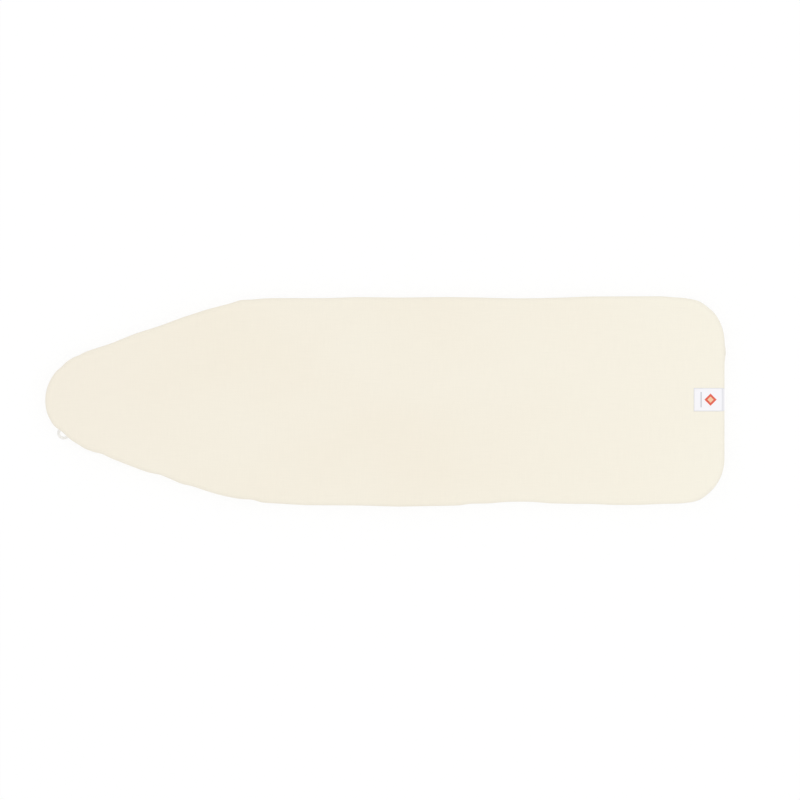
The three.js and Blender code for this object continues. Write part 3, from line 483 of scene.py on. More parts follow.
# %% [markdown]
# ## Where the cloth gathers
#
# A drawstring pulls most cloth together where the edge turns: round the nose and round the tail's corners.
# The straight sides keep only a faint waviness, and beside the clips and the gap in the hem the cloth is
# stretched flat and lifted. Real folds are never equal, so their spacing drifts: the phase runs with the
# distance round the cover, and slow waves are added to it. A fold is a rounded ridge with a narrower
# valley, which a second harmonic gives. A cloth simulation could find folds by itself, but it is slow on a
# sheet this large with folds this small, and waves can be given the spacing that such hems have.

# %% Folds, lift and the gap in the hem
FOLD_PITCH = 13.0 * MM
SMALL_FOLD_PITCH = 5.2 * MM
LIFT_FALL = 110.0 * MM
GAP_LIFT_FLAT = 60.0 * MM
GATHER_BLUR = 14.0 * MM
LEAST_GATHER_SHARE = 0.10
TURNING = 0.02
# The share of the gathering that a clip or the gap in the hem takes away, and how far the gap's stretch
# goes, as shares of the gap's own reach along the edge.
STRETCHED_SHARE = 0.9
STRETCH_FLAT, STRETCH_FALL = 0.75, 0.4
SLOW_WAVES = (7, 17, 31)
SECOND_HARMONIC = 0.33
MIDDLE_STRENGTH, STRENGTH_SWING = 0.72, 0.28

on_corner = (np.abs(normal[:, 0]) > TURNING) & (place[:, 0] > COVER_LENGTH / 2 - TAIL_RADIUS)
on_corner &= np.abs(place[:, 1]) > COVER_WIDTH / 2 - TAIL_RADIUS
gap_station = int(np.argmin(np.linalg.norm(from_nose - NOSE_RADIUS * GAP_WAY, axis=1)))
from_gap = shorter_way(around, around[gap_station])
gap_reach = GAP_HALF * NOSE_RADIUS
opened = fade(from_gap, gap_reach / 2, gap_reach / 2)
at_clip = fade(np.abs(place[:, 0] - STRAP_X), CLIP_HALF_WIDTH, LIFT_FALL)
at_clip *= np.abs(normal[:, 1]) > FACES_SIDE
lift = np.maximum(at_clip, fade(from_gap, GAP_LIFT_FLAT, LIFT_FALL))
gather = np.clip(blurred((on_nose | on_corner).astype(float), GATHER_BLUR), 0, 1)
gather = LEAST_GATHER_SHARE + (1 - LEAST_GATHER_SHARE) * gather
gather *= 1 - STRETCHED_SHARE * at_clip
gather *= 1 - fade(from_gap, gap_reach * STRETCH_FLAT, gap_reach * STRETCH_FALL)


def folds(run, full_run, pitch, wander, seed):
    """Ridges from 0 to 1: sin(phase) with a second harmonic, scaled, where the phase is the distance run
    over the pitch, rounded to whole turns for the full way round, plus three slow seeded waves. Their
    strength swings with the product of two waves, 11 and 5 to the full way round."""
    rng = np.random.default_rng(seed)
    turns = 2 * np.pi * run / full_run
    phase = turns * round(full_run / pitch)
    for count in SLOW_WAVES:
        phase = phase + wander * rng.uniform(0.5, 1.0) * np.sin(count * turns + rng.uniform(0, 2 * np.pi))
    shape = np.sin(phase) + SECOND_HARMONIC * np.sin(2 * phase + 0.9)
    shape = (shape - shape.min()) / (shape.max() - shape.min())
    swing = np.sin(11 * turns + rng.uniform(0, 2 * np.pi)) * np.sin(5 * turns + 1.3)
    return shape * (MIDDLE_STRENGTH + STRENGTH_SWING * swing)


fold = folds(around, perimeter, FOLD_PITCH, wander=1.6, seed=4)
small_fold = folds(around, perimeter, SMALL_FOLD_PITCH, wander=1.1, seed=9)
print("folds round the edge:", round(perimeter / FOLD_PITCH), "gap at station", gap_station)

# %% [markdown]
# ## The cotton cover
#
# One sheet of cotton makes the flat face, turns down over the soft edge, follows the board's rim and turns
# under to the hem. Its section is worked out once as distances inward and heights, for all the stations
# together. Folds then push it in and out along its own normal, and the inner side is the outer side moved
# by the cloth's thickness, so the cloth has a real edge. A Solidify modifier could give the thickness too,
# but with as many rows inside, where nobody looks, as outside. The UV map is the flat cloth before it was
# bent, in metres, so the weave keeps its size round the edge.

# %% Heights of the section
CLOTH = 0.5 * MM
TOP_EDGE = 8.0 * MM
LOWER_EDGE = 6.0 * MM
CLOTH_UNDER = 13.6 * MM
HEM_REST = 2.1 * MM
HEM_LIFTED = 10.0 * MM
HEM_WAVE = 1.5 * MM
SETTLED_FALL = 30.0 * MM
CLOTH_EDGE_INSET = 49.0 * MM
LEAF_INSET = 40.4 * MM
EDGE_ROWS, WALL_ROWS, TURNED_ROWS = 10, 8, 20

settled = 1 - fade(from_gap, gap_reach, SETTLED_FALL)
hem_height = HEM_REST + (HEM_LIFTED - HEM_REST) * lift + HEM_WAVE * gather * fold * settled


def cloth_section():
    """Rows of insets and of heights for every station: a quarter circle over the top edge, the wall, a
    quarter circle under it, and the turned edge, which falls by a smooth step to the height of the hem."""
    quarter = np.linspace(0, np.pi / 2, EDGE_ROWS)
    top_in, top_up = TOP_EDGE * (1 - np.sin(quarter)), FACE_HEIGHT - TOP_EDGE * (1 - np.cos(quarter))
    foot = CLOTH_UNDER + LOWER_EDGE
    wall_up = np.linspace(FACE_HEIGHT - TOP_EDGE, foot, WALL_ROWS)[1:-1]
    low_in, low_up = LOWER_EDGE * (1 - np.cos(quarter)), foot - LOWER_EDGE * np.sin(quarter)
    turned_in = LOWER_EDGE + (CLOTH_EDGE_INSET - LOWER_EDGE) * np.linspace(0, 1, TURNED_ROWS)[1:]
    fall = ease(np.clip((turned_in - LOWER_EDGE) / (LEAF_INSET - LOWER_EDGE), 0, 1))
    edge = hem_height - CLOTH / 2
    edge = edge + (CLOTH_UNDER - edge) * opened
    turned_up = CLOTH_UNDER + (edge[None, :] - CLOTH_UNDER) * fall[:, None]
    rows_in = np.concatenate([top_in, 0 * wall_up, low_in, turned_in])
    rows_up = np.concatenate([top_up, wall_up, low_up])
    rows_up = np.concatenate([np.repeat(rows_up[:, None], stations, 1), turned_up])
    return np.repeat(rows_in[:, None], stations, 1), rows_up


section_in, section_up = cloth_section()
print("rows from the top edge to the hem:", len(section_in))

# %% Folds on the turned edge and the wall
# The drawstring's folds show most in the middle of the turned edge, and at the hem they are gone, because
# the hem's own height already follows them. On the wall they are valleys between ridges that keep to the
# outline: they start under the soft edge and are deepest at its foot.
BIG_FOLD = 3.8 * MM
SMALL_FOLD = 1.3 * MM
FOLD_START = 2.0 * MM
WALL_FOLD = 3.2 * MM
WALL_CRIMP = 1.0 * MM
WALL_FALL = 14.0 * MM
WALL_POWER, TURNED_POWER = 1.3, 0.8


def turned_push(inset, where=slice(None)):
    """How far the folds push the turned edge down: a big and a small ridge, times the sine of pi times the
    share of the way from the wall to the hem. A power under one on that share moves them wallwards."""
    share = np.clip((inset - FOLD_START) / (CLOTH_EDGE_INSET - FOLD_START), 0, 1)
    ridge = BIG_FOLD * (fold[where] - 0.5) + SMALL_FOLD * (small_fold[where] - 0.5)
    held = gather[where] * (1 - STRETCHED_SHARE * opened[where])
    return np.sin(np.pi * share**TURNED_POWER) * (held * ridge)


low_half = section_up < FACE_HEIGHT / 2
wall_share = np.clip((FACE_HEIGHT - TOP_EDGE - section_up) / WALL_FALL, 0, 1) ** WALL_POWER
wall_share *= 1 - np.clip((section_in - FOLD_START) / (CLOTH_EDGE_INSET / 2), 0, 1) * low_half
valleys = WALL_FOLD * (1 - fold) + WALL_CRIMP * (1 - small_fold)
push = np.where(low_half, turned_push(section_in), 0) - wall_share * gather * valleys
print("largest push in mm:", round(float(np.abs(push).max()) / MM, 2))

# %% A slack fold at the tail
# The photo shows a slack fold that stands a little proud low on the tail's wall, beside the far corner.
SLACK_DEPTH = 3.2 * MM
SLACK_Y = 88.0 * MM
SLACK_REACH = 12.0 * MM
SLACK_START = 4.0 * MM

slack = np.exp(-0.5 * ((place[:, 1] - SLACK_Y) / SLACK_REACH) ** 2) * (normal[:, 0] > FACES_TAIL)
low = np.clip((FACE_HEIGHT - SLACK_START - section_up) / WALL_FALL, 0, 1) * (section_in < LOWER_EDGE)
push += SLACK_DEPTH * slack[None, :] * low
print("with the slack fold:", round(float(np.abs(push).max()) / MM, 2))


# %% The sheet of cloth
def section_points(inset, height):
    """Points of the frame at a distance inward from the outline and at a height. The drift of the soft edge
    fades out under the board, where the hem lies true."""
    kept = 1 - np.clip((inset - LOWER_EDGE) / (LEAF_INSET - LOWER_EDGE), 0, 1)
    flat = place[None] + (drift[None] * kept - inset)[..., None] * normal[None]
    return np.concatenate([flat, height[..., None]], axis=2)


def surface_normals(grid, outward_hint):
    """Unit normals of a grid that is closed round its columns: the cross product of its two directions,
    turned to the side of a hint."""
    columns_way = np.roll(grid, -1, axis=1) - np.roll(grid, 1, axis=1)
    across = unit(np.cross(columns_way, np.gradient(grid, axis=0)))
    return across * np.sign((across * outward_hint).sum(axis=2, keepdims=True))


def spine_rings(edge, height, share):
    """Rings at one height, each a share of the way from the spine of the board out to an edge line."""
    spine = np.column_stack([spine_x, np.zeros(stations)])
    flat = spine[None] + share[:, None, None] * (edge - spine)[None]
    return np.concatenate([flat, np.full((len(share), stations, 1), height)], axis=2)


outer = section_points(section_in, section_up)
down = np.clip(section_in / LOWER_EDGE, 0, 1) * low_half
rise = np.clip(section_in / TOP_EDGE, 0, 1) * ~low_half
level = (1 - np.maximum(down, rise))[..., None]
hint = np.concatenate([normal[None] * level, (rise - down)[..., None]], axis=2)
outer = outer + push[..., None] * surface_normals(outer, hint)
inner = outer - CLOTH * surface_normals(outer, hint)
print("cloth points on the outer side:", outer.shape[:2])

# %% One closed sheet
# The rings of the face lie closest near the edge. The lining side, which is hidden, has a third of the
# rows. The UV grid repeats the same rows as flat cloth: the run over the section is laid outward.
FACE_RINGS, LINING_RINGS, LINING_STEP = 9, 3, 3

rim = place + (drift - TOP_EDGE)[:, None] * normal
face_share = 1 - (1 - np.arange(FACE_RINGS) / FACE_RINGS) ** 2
lining_share = 1 - (1 - np.arange(LINING_RINGS) / LINING_RINGS) ** 2
last_row = len(section_in) - 1
hidden = np.r_[0:last_row:LINING_STEP, last_row][::-1]
face, lining = spine_rings(rim, FACE_HEIGHT, face_share), spine_rings(rim, FACE_HEIGHT - CLOTH, lining_share)
cover_grid = np.concatenate([face, outer, inner[hidden], lining[::-1]])
cloth_run = length_along(np.column_stack([section_in[:, 0], section_up[:, 0]]))
flat_cloth = rim[None] + cloth_run[:, None, None] * normal[None]
cover_uv = np.concatenate([face[..., :2], flat_cloth, flat_cloth[hidden], lining[::-1, :, :2]])
cover = add_surface("cotton_cover_cloth", cover_grid, uv=cover_uv)
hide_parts("cotton_cover")
print("cover faces:", len(cover.data.polygons))

# %% Close the spine
JOINED = 0.02 * MM


def merge_doubles(piece):
    """Joins points that lie on each other, as they do where the rings meet at the spine."""
    work = bmesh.new()
    work.from_mesh(piece.data)
    bmesh.ops.remove_doubles(work, verts=work.verts, dist=JOINED)
    work.to_mesh(piece.data)
    work.free()


merge_doubles(cover)

# %% [markdown]
# ## Foam and felt
#
# Under the cotton lie two pads of the same outline: open-cell foam, and below it a needle-punched felt that
# rests on the board. Both are thin closed slabs with a rounded edge. Only the felt's underside shows, and
# only from below, but the pads are what makes the face full and the edge soft. An extruded outline would
# make a slab too. These are built on the cover's own stations, so that they follow its drift.


# %% Pads
def add_pad(name, node, under, thickness, inset, edge):
    """A closed slab: rings from the spine to the edge below, a rounded edge, and rings back above. The edge
    is inset + edge (1 - cos a) inward and middle + thickness / 2 sin a up, for a from -90 to 90 degrees."""
    turn = np.linspace(-np.pi / 2, np.pi / 2, 9)
    edge_in = inset + edge * (1 - np.cos(turn))
    edge_up = under + thickness / 2 * (1 + np.sin(turn))
    edge_grid = section_points(*(np.repeat(row[:, None], stations, 1) for row in (edge_in, edge_up)))
    share = np.linspace(0, 1, 6, endpoint=False)
    below, above = (spine_rings(edge_grid[0, :, :2], height, share) for height in (under, under + thickness))
    pad = add_surface(name, np.concatenate([below, edge_grid, above[::-1]]))
    merge_doubles(pad)
    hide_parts(node)
    return pad


felt = add_pad(
    "felt_pad_felt", "felt_pad", under=32.4 * MM, thickness=4.0 * MM, inset=1.0 * MM, edge=1.2 * MM
)
foam = add_pad(
    "foam_pad_foam", "foam_pad", under=36.7 * MM, thickness=4.2 * MM, inset=3.8 * MM, edge=3.6 * MM
)
print("pads:", [len(pad.data.polygons) for pad in (felt, foam)])

# %% [markdown]
# ## The bound hem
#
# A cotton tape is folded over the raw edge of the cloth and stitched through, and the drawstring runs in
# its fold. Its section is a U: two leaves on the cloth and a round channel at the end. It is carried along
# the hem, where small puckers cross it, strongest round the nose and the corners, because there the
# drawstring has pulled the most cloth together. A curve object could carry the section too, but would swell
# all of it alike at a pucker.

# %% Section and path of the hem
TAPE = 0.5 * MM
# Half of the U's outer side, from the leaf's tip to the end of the channel: millimetres inward from the
# drawstring, and up. The other half is its mirror image.
HALF_SECTION = np.array(
    [(-11.0, 0.55), (-10.7, 0.85), (-8.0, 0.88), (-5.2, 0.86), (-3.4, 0.80), (-2.4, 1.05), (-1.5, 1.62),
     (-0.5, 2.03), (0.5, 2.02), (1.35, 1.60), (1.93, 0.85), (2.1, 0.0)]
)  # fmt: skip

half_curve = smooth_line(HALF_SECTION, per_span=2) * MM
outer_curve = np.concatenate([half_curve, (half_curve * [1, -1])[-2::-1]])
inner_curve = (outer_curve - TAPE * quarter_turn(way_along(outer_curve)))[::2]
section = np.concatenate([outer_curve, inner_curve[::-1]])
hem_order = np.roll(np.arange(stations), -gap_station)
run_from_gap = (around[hem_order] - around[gap_station]) % perimeter
hem_stations = hem_order[(run_from_gap > gap_reach) & (run_from_gap < perimeter - gap_reach)]
print("hem section points:", len(section), "stations:", len(hem_stations))

# %% The binding and the drawstring inside it
# A pucker swells the section and moves it inward, most where the cloth is gathered most. The leaf's tip
# takes a quarter of the swelling, and the channel all of it.
PUCKER_PITCH = 3.6 * MM
PUCKER_SHIFT = 0.45 * MM
PUCKER_SWELL_SHARE = 0.30
PUCKER_MIDDLE = 0.4
LEAST_TIGHTNESS = 0.2
LEAF_TO_BEAD = 6.0 * MM
HEM_CLEARANCE = 0.02 * MM

hem_place, hem_normal = place[hem_stations], normal[hem_stations]
hem_line = place - HEM_INSET * normal
hem_steps, hem_around = way_round(hem_line)
pucker = folds(hem_around, hem_steps.sum(), PUCKER_PITCH, wander=0.9, seed=21)
pucker = pucker[hem_stations, None] - PUCKER_MIDDLE
tightness = LEAST_TIGHTNESS + (1 - LEAST_TIGHTNESS) * gather[hem_stations, None]
bead_share = np.clip(1 + section[None, :, 0] / LEAF_TO_BEAD, 0.25, 1)
swell = 1 + PUCKER_SWELL_SHARE * tightness * pucker * bead_share
hem_in = HEM_INSET + section[None, :, 0] + PUCKER_SHIFT * tightness * pucker
hem_up = hem_height[hem_stations, None] + section[None, :, 1] * swell
hem_up = np.maximum(hem_up - turned_push(hem_in.T, hem_stations).T, HEM_CLEARANCE)
hem_flat = hem_place[:, None] - hem_in[..., None] * hem_normal[:, None]
hem_grid = np.concatenate([hem_flat, hem_up[..., None]], axis=2)
hem_uv = uv_grid(length_along(section), length_along(hem_grid[:, 0]))
binding = add_surface("hem_binding_tape", hem_grid, cap_ends=True, uv=hem_uv)
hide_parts("hem_binding_near", "hem_binding_tail", "hem_binding_far")

held_line = np.column_stack([hem_line[hem_stations], hem_height[hem_stations]])
held_cord = add_cord("drawstring_in_hem_cord", held_line, sides=10)
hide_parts("drawstring_in_hem")
print("binding faces:", len(binding.data.polygons))

# %% [markdown]
# ## Stitches
#
# A row of stitches holds the binding to the cloth, and shorter rows hold the label and the ends of the
# strap. A stitch is a short bead of thread: a bent six-sided spindle whose ends dip into the cloth. All the
# stitches of a row are one mesh, made by placing the same spindle many times with array sums. Instances
# would be lighter, but a plain mesh is exported as it stands.

# %% One row of stitches
HEM_STITCH, HEM_STITCH_PITCH = 2.6 * MM, 3.2 * MM
HEM_THREAD = 0.16 * MM
LEAF_SEAM = -3.4 * MM
SPINDLE_SIDES = 6
stitch_rows = []


def add_stitches(name, middle, along, up, slot_name, length, radius):
    """Spindles at the middles: along x, side y and up z of the spindle are turned to each place. Its radius
    is the root of sin(pi t), and its centre line rises by 1.4 sin(pi t) radii from 0.9 radii below."""
    t = np.linspace(0.04, 0.96, 5)[:, None]
    turn = np.arange(SPINDLE_SIDES)[None] / SPINDLE_SIDES * 2 * np.pi
    swell = np.sin(np.pi * t) ** 0.5
    x = (t - 0.5) * length + 0 * turn
    y = radius * swell * np.cos(turn)
    z = radius * (swell * np.sin(turn) + 1.4 * np.sin(np.pi * t) - 0.9)
    spindle = np.stack([x, y, z], axis=2)
    axes = np.stack([along, np.cross(up, along), up], axis=1)
    points = middle[:, None, None] + np.einsum("rck,nkd->nrcd", spindle, axes)
    offsets = np.arange(len(middle))[:, None, None] * x.size
    polygons = []
    for corners in closed_cells(points[0]):
        polygons += (corners + offsets).reshape(-1, corners.shape[1]).tolist()
    row = add_mesh(name, points, polygons, "cover")
    stitch_rows.append(row)


def spaced_frames(line, ups, pitch):
    """Places an equal distance apart on a line, the way along it and the way up from the cloth."""
    run = length_along(line)
    marks = np.arange(pitch, run[-1] - pitch / 2, pitch)
    along = unit(at_marks(np.gradient(line, axis=0), run, marks))
    up = at_marks(ups, run, marks)
    up = unit(up - (up * along).sum(axis=1, keepdims=True) * along)
    return at_marks(line, run, marks), along, up


def joined(rows):
    """The places, ways along and ways up of several rows, as one row."""
    return [np.concatenate(parts) for parts in zip(*rows)]


upper_column = int(np.argmin(np.abs(outer_curve[:, 0] - LEAF_SEAM) + (outer_curve[:, 1] < 0)))
lower_column = len(outer_curve) - 1 - upper_column
for leaf, column, way_up in (("above", upper_column, UP), ("below", lower_column, -UP)):
    seam = spaced_frames(hem_grid[:, column], np.tile(way_up, (len(hem_stations), 1)), HEM_STITCH_PITCH)
    add_stitches(f"hem_stitches_{leaf}", *seam, "cord", length=HEM_STITCH, radius=HEM_THREAD)
    print("stitches", leaf, "the cloth:", len(seam[0]))

# %% [markdown]
# ## The elastic strap
#
# A woven elastic runs across the underside from clip to clip. Each end goes round the bar of its clip and
# is sewn back on itself. Its shape is a profile in the plane across the board, carried over the strap's
# width; the lengthwise ribs come from the material, and a slight thinning at both edges from the profile.
# A plane with a Solidify modifier could be bent the same way, but would stay as thick at its edges.

# %% Strap
STRAP_THICK = 1.1 * MM
STRAP_SAG = 0.35 * MM
EDGE_THINNING = 0.55
TURNED_BACK, TURNED_SUNK = 20.0 * MM, 0.25 * MM
strap_low, strap_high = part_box("elastic_strap")
STRAP_WIDTH = strap_high.x - strap_low.x
BAR_HEIGHT = (strap_low.z + strap_high.z) / 2
LOOP = (strap_high.z - strap_low.z - STRAP_THICK) / 2
NEAR_BEND = strap_low.y + LOOP + STRAP_THICK / 2
FAR_BEND = strap_high.y - LOOP - STRAP_THICK / 2


def strap_middle():
    """(y, z) of the strap's middle line: back along the near end, half round the near bar, across above the
    bars with a sag of half a sine wave, half round the far bar and back."""
    half = np.linspace(-np.pi / 2, np.pi / 2, 13)
    round_bar = LOOP * np.column_stack([np.cos(half), np.sin(half)])
    turned = np.array([[1.0], [0.5]]) * [TURNED_BACK, TURNED_SUNK] - [0, LOOP]
    y = np.linspace(NEAR_BEND, FAR_BEND, 60)[1:-1]
    sag = STRAP_SAG * np.sin(np.pi * (y - NEAR_BEND) / (FAR_BEND - NEAR_BEND))
    near, far = np.array([NEAR_BEND, BAR_HEIGHT]), np.array([FAR_BEND, BAR_HEIGHT])
    over = np.column_stack([y, BAR_HEIGHT + LOOP - sag])
    near_loop = np.concatenate([near + turned, near + round_bar * [-1, 1]])
    far_loop = np.concatenate([far + round_bar * [1, -1], (far + turned * [-1, 1])[::-1]])
    return np.concatenate([near_loop, over, far_loop])


strap_line = strap_middle()
strap_run = length_along(strap_line)
across = np.linspace(-1, 1, 25)
half_thick = STRAP_THICK / 2 * (1 - EDGE_THINNING * np.abs(across) ** 10)
strap_x = np.concatenate([across, across[::-1]]) * STRAP_WIDTH / 2
strap_level = np.concatenate([half_thick, -half_thick[::-1]])
strap_grid = band_grid(strap_line, STRAP_X + strap_x, strap_level)[..., [1, 0, 2]]
strap = add_surface("elastic_strap_band", strap_grid, cap_ends=True, uv=uv_grid(strap_x, strap_run))
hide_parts("elastic_strap")
print("strap length in mm:", round(strap_run[-1] / MM, 1), "loop:", round(LOOP / MM, 2))

# %% Cross stitches at the strap's ends
BOX_START, BOX_STOP = 7.0 * MM, 19.0 * MM
BOX_HALF = 7.5 * MM
BOX_STITCH, BOX_STITCH_PITCH = 1.7 * MM, 2.2 * MM
BOX_THREAD = 0.14 * MM
THREAD_BEDDING = 0.2 * MM
LINE_POINTS = 40


def box_stitch(bend, way, under):
    """Places of a stitched box with a cross: four sides and two diagonals, all on one level."""
    near_y, far_y = bend + way * BOX_START, bend + way * BOX_STOP
    low_x, high_x = STRAP_X - BOX_HALF, STRAP_X + BOX_HALF
    corner_x, corner_y = [low_x, high_x, high_x, low_x], [near_y, near_y, far_y, far_y]
    corners = np.column_stack([corner_x, corner_y, [under] * 4])
    ends = corners[np.array([(0, 1), (1, 2), (2, 3), (3, 0), (0, 2), (1, 3)])]
    share = np.linspace(0, 1, LINE_POINTS)[:, None]
    ups = np.tile(-UP, (LINE_POINTS, 1))
    lines = [start + (stop - start) * share for start, stop in ends]
    return joined([spaced_frames(line, ups, BOX_STITCH_PITCH) for line in lines])


strap_under = BAR_HEIGHT - LOOP - STRAP_THICK / 2 + THREAD_BEDDING
for end_name, bend, way in (("near", NEAR_BEND, 1.0), ("far", FAR_BEND, -1.0)):
    sewn = box_stitch(bend, way, strap_under)
    add_stitches(f"strap_stitches_{end_name}", *sewn, "cord", length=BOX_STITCH, radius=BOX_THREAD)
print("strap ends sewn with", len(sewn[0]), "stitches each")

# %% [markdown]
# ## The woven label
#
# A satin label lies on the ironing face, goes over the tail's edge and is sewn along its rim. Its path is a
# line over the face, a quarter turn round the edge and a short drop down the wall. It lies flat at its seams
# and lifts by a hair between them. A Shrinkwrap modifier could lay a plane on the cover, but the path is
# known, so it is simply written down. Its own UV map is in metres along and across, so that its woven
# stripe and lozenge can be placed by measure.

# %% Label
LABEL_LENGTH = 56.0 * MM
LABEL_WIDTH = 42.5 * MM
LABEL_Y = 1.2 * MM
LABEL_THICK = 0.4 * MM
LABEL_GAP = 0.12 * MM
LABEL_DROP = 8.0 * MM
LABEL_LIFT = 0.18 * MM


def label_path():
    """(x, z) of the label's underside: the face, a quarter circle just outside the edge's, and the drop."""
    edge_x, edge_z = COVER_LENGTH / 2 - TOP_EDGE, FACE_HEIGHT - TOP_EDGE
    reach = TOP_EDGE + LABEL_GAP
    turn = np.linspace(0, np.pi / 2, 14)
    flat_x = np.linspace(COVER_LENGTH / 2 - LABEL_LENGTH, edge_x, 30)[:-1]
    drop_z = np.linspace(edge_z, edge_z - LABEL_DROP, 6)[1:]
    x = np.concatenate([flat_x, edge_x + reach * np.sin(turn), 0 * drop_z + edge_x + reach])
    z = np.concatenate([0 * flat_x + edge_z + reach, edge_z + reach * np.cos(turn), drop_z])
    return np.column_stack([x, z])


label_line = label_path()
label_run = length_along(label_line)
share_along = label_run[:, None] / label_run[-1]
share_across = np.linspace(-1, 1, 41)[None]
lifted = (1 - np.abs(share_across) ** 6) * (1 - np.abs(2 * share_along - 1) ** 8)
under_level = LABEL_LIFT * lifted * (0.6 + 0.4 * np.sin(9 * share_along + 3 * share_across))
over_level = under_level + LABEL_THICK * (1 - 0.6 * np.abs(share_across) ** 24)
label_level = np.concatenate([under_level, over_level[:, ::-1]], axis=1)
label_y = np.concatenate([share_across[0], share_across[0, ::-1]]) * LABEL_WIDTH / 2
label_grid = band_grid(label_line, LABEL_Y + label_y, label_level)
label = add_surface("woven_label_satin", label_grid, cap_ends=True, uv=uv_grid(label_y, label_run)[..., ::-1])
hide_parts("woven_label")
print("label length in mm:", round(label_run[-1] / MM, 1))

# %% Seams of the label
SEAM_MARGIN = 1.6 * MM
SEAM_STITCH, SEAM_PITCH = 1.8 * MM, 2.4 * MM
SEAM_THREAD = 0.13 * MM
SEAM_LEVEL = LABEL_THICK + 0.05 * MM

label_up = quarter_turn(way_along(label_line))
top_x, top_z = (label_line + label_up * SEAM_LEVEL).T
ups = np.insert(label_up, 1, 0.0, axis=1)
seam_sides = LABEL_Y + np.array([-1.0, 1.0]) * (LABEL_WIDTH / 2 - SEAM_MARGIN)
seams = [spaced_frames(np.column_stack([top_x, 0 * top_x + y, top_z]), ups, SEAM_PITCH) for y in seam_sides]
front_y = np.linspace(*seam_sides, LINE_POINTS)
front_x, front_z = label_line[0, 0] + SEAM_MARGIN, FACE_HEIGHT + LABEL_GAP + SEAM_LEVEL
front = np.column_stack([0 * front_y + front_x, front_y, 0 * front_y + front_z])
seams.append(spaced_frames(front, np.tile(UP, (LINE_POINTS, 1)), SEAM_PITCH))
add_stitches("label_stitches", *joined(seams), "satin", length=SEAM_STITCH, radius=SEAM_THREAD)
print("rows of stitches:", len(stitch_rows))

# %% [markdown]
# ## Materials
#
# Every material starts from what the real one is. Colours are written as sRGB hex values and turned to
# linear by one function, and one small function adds a node with its settings and its links. Patterns on
# cloth and cord read the piece's own UV map, which is in metres, so a pattern's scale is a real size.


# %% Helpers for materials
def linear(hex_value):
    """An sRGB hex value as linear red, green and blue, with an alpha of one."""
    parts = [((hex_value >> shift) & 255) / 255 for shift in (16, 8, 0)]
    return (*[c / 12.92 if c <= 0.04045 else ((c + 0.055) / 1.055) ** 2.4 for c in parts], 1.0)


def add_node(tree, kind, inputs=None, **settings):
    """Adds a node, makes its own settings, then gives each input a value or a link. A node that is given as
    an input stands for its first output."""
    made = tree.nodes.new(kind)
    for key, value in settings.items():
        setattr(made, key, value)
    for key, value in (inputs or {}).items():
        source = value.outputs[0] if isinstance(value, bpy.types.Node) else value
        if isinstance(source, bpy.types.NodeSocket):
            tree.links.new(source, made.inputs[key])
        else:
            made.inputs[key].default_value = source
    return made


def new_material(name):
    """A material with an empty tree of nodes, and that tree."""
    made = bpy.data.materials.new(name)
    made.use_nodes = True
    made.node_tree.nodes.clear()
    return made, made.node_tree


def wave(tree, uv, across, along):
    """The sine of across times U plus along times V."""
    phase = add_node(tree, "ShaderNodeVectorMath", {0: uv, 1: (across, along, 0.0)}, operation="DOT_PRODUCT")
    return add_node(tree, "ShaderNodeMath", {0: phase.outputs["Value"]}, operation="SINE")


def two_toned(tree, pattern, colours, relief=None, height=None, **shader_values):
    """Ends a material: a pattern from 0 to 1 mixes two colours, and where a relief is given, as a strength
    and a depth, the pattern or another height raises the surface."""
    inputs = {key.replace("_", " "): value for key, value in shader_values.items()}
    low, high = (linear(hex_value) for hex_value in colours)
    mix = add_node(tree, "ShaderNodeMix", {0: pattern, 6: low, 7: high}, data_type="RGBA")
    inputs["Base Color"] = mix.outputs[2]
    if relief:
        raised = {"Height": height or pattern, "Strength": relief[0], "Distance": relief[1]}
        inputs["Normal"] = add_node(tree, "ShaderNodeBump", raised)
    shader = add_node(tree, "ShaderNodeBsdfPrincipled", inputs)
    add_node(tree, "ShaderNodeOutputMaterial", {"Surface": shader})


def grained(name, colours, grain, detail=2.0, roughness=None, **more):
    """A finish with a fine grain: noise on Object coordinates, scaled by one over the grain's size. Where
    a lowest and a highest roughness are given, the grain moves between them."""
    made, tree = new_material(name)
    where = add_node(tree, "ShaderNodeTexCoord").outputs["Object"]
    noise = add_node(tree, "ShaderNodeTexNoise", {"Vector": where, "Scale": 1 / grain, "Detail": detail})
    if roughness:
        spread = {0: noise, 1: 0.3, 2: 0.7, 3: roughness[0], 4: roughness[1]}
        more["Roughness"] = add_node(tree, "ShaderNodeMapRange", spread)
    two_toned(tree, noise, colours, **more)
    return made


def paint(piece, material):
    """Gives a piece this one material."""
    piece.data.materials.clear()
    piece.data.materials.append(material)


print("material helpers ready")

# %% [markdown]
# ### Undyed plain-weave cotton
#
# The cover is a pressed cotton canvas. Warp and weft cross one over one, so its height is a chessboard of
# small bumps: the sine of one direction times the sine of the other. Real thread spacing is about half a
# millimetre, which no render at this size can show, so it is drawn at one millimetre. Yarn is never even:
# long thin noise along each thread direction gives slubs, and broad noise gives the faint change of tone
# that the photo has. The tone is also a little darker and yellower towards the nose, which is painted shade,
# and a little lighter towards the tail, which is painted light. A picture of canvas could be laid on
# instead, but would repeat many times over more than a metre of cloth.

# %% Cotton
THREAD_PITCH = 1.0 * MM
SLUB_THICK, SLUB_LONG = 1.6 * MM, 40.0 * MM
TONE_ACROSS, TONE_ALONG = 220.0 * MM, 350.0 * MM
# The nose's tone is a painted shade and the tail's a painted light: these are where along the cover they
# blend in.
NOSE_PAINTED_SHADE_REACH = (-300.0 * MM, -620.0 * MM)
TAIL_PAINTED_LIGHT_REACH = (100.0 * MM, 620.0 * MM)
WEAVE_DEPTH = 0.16 * MM


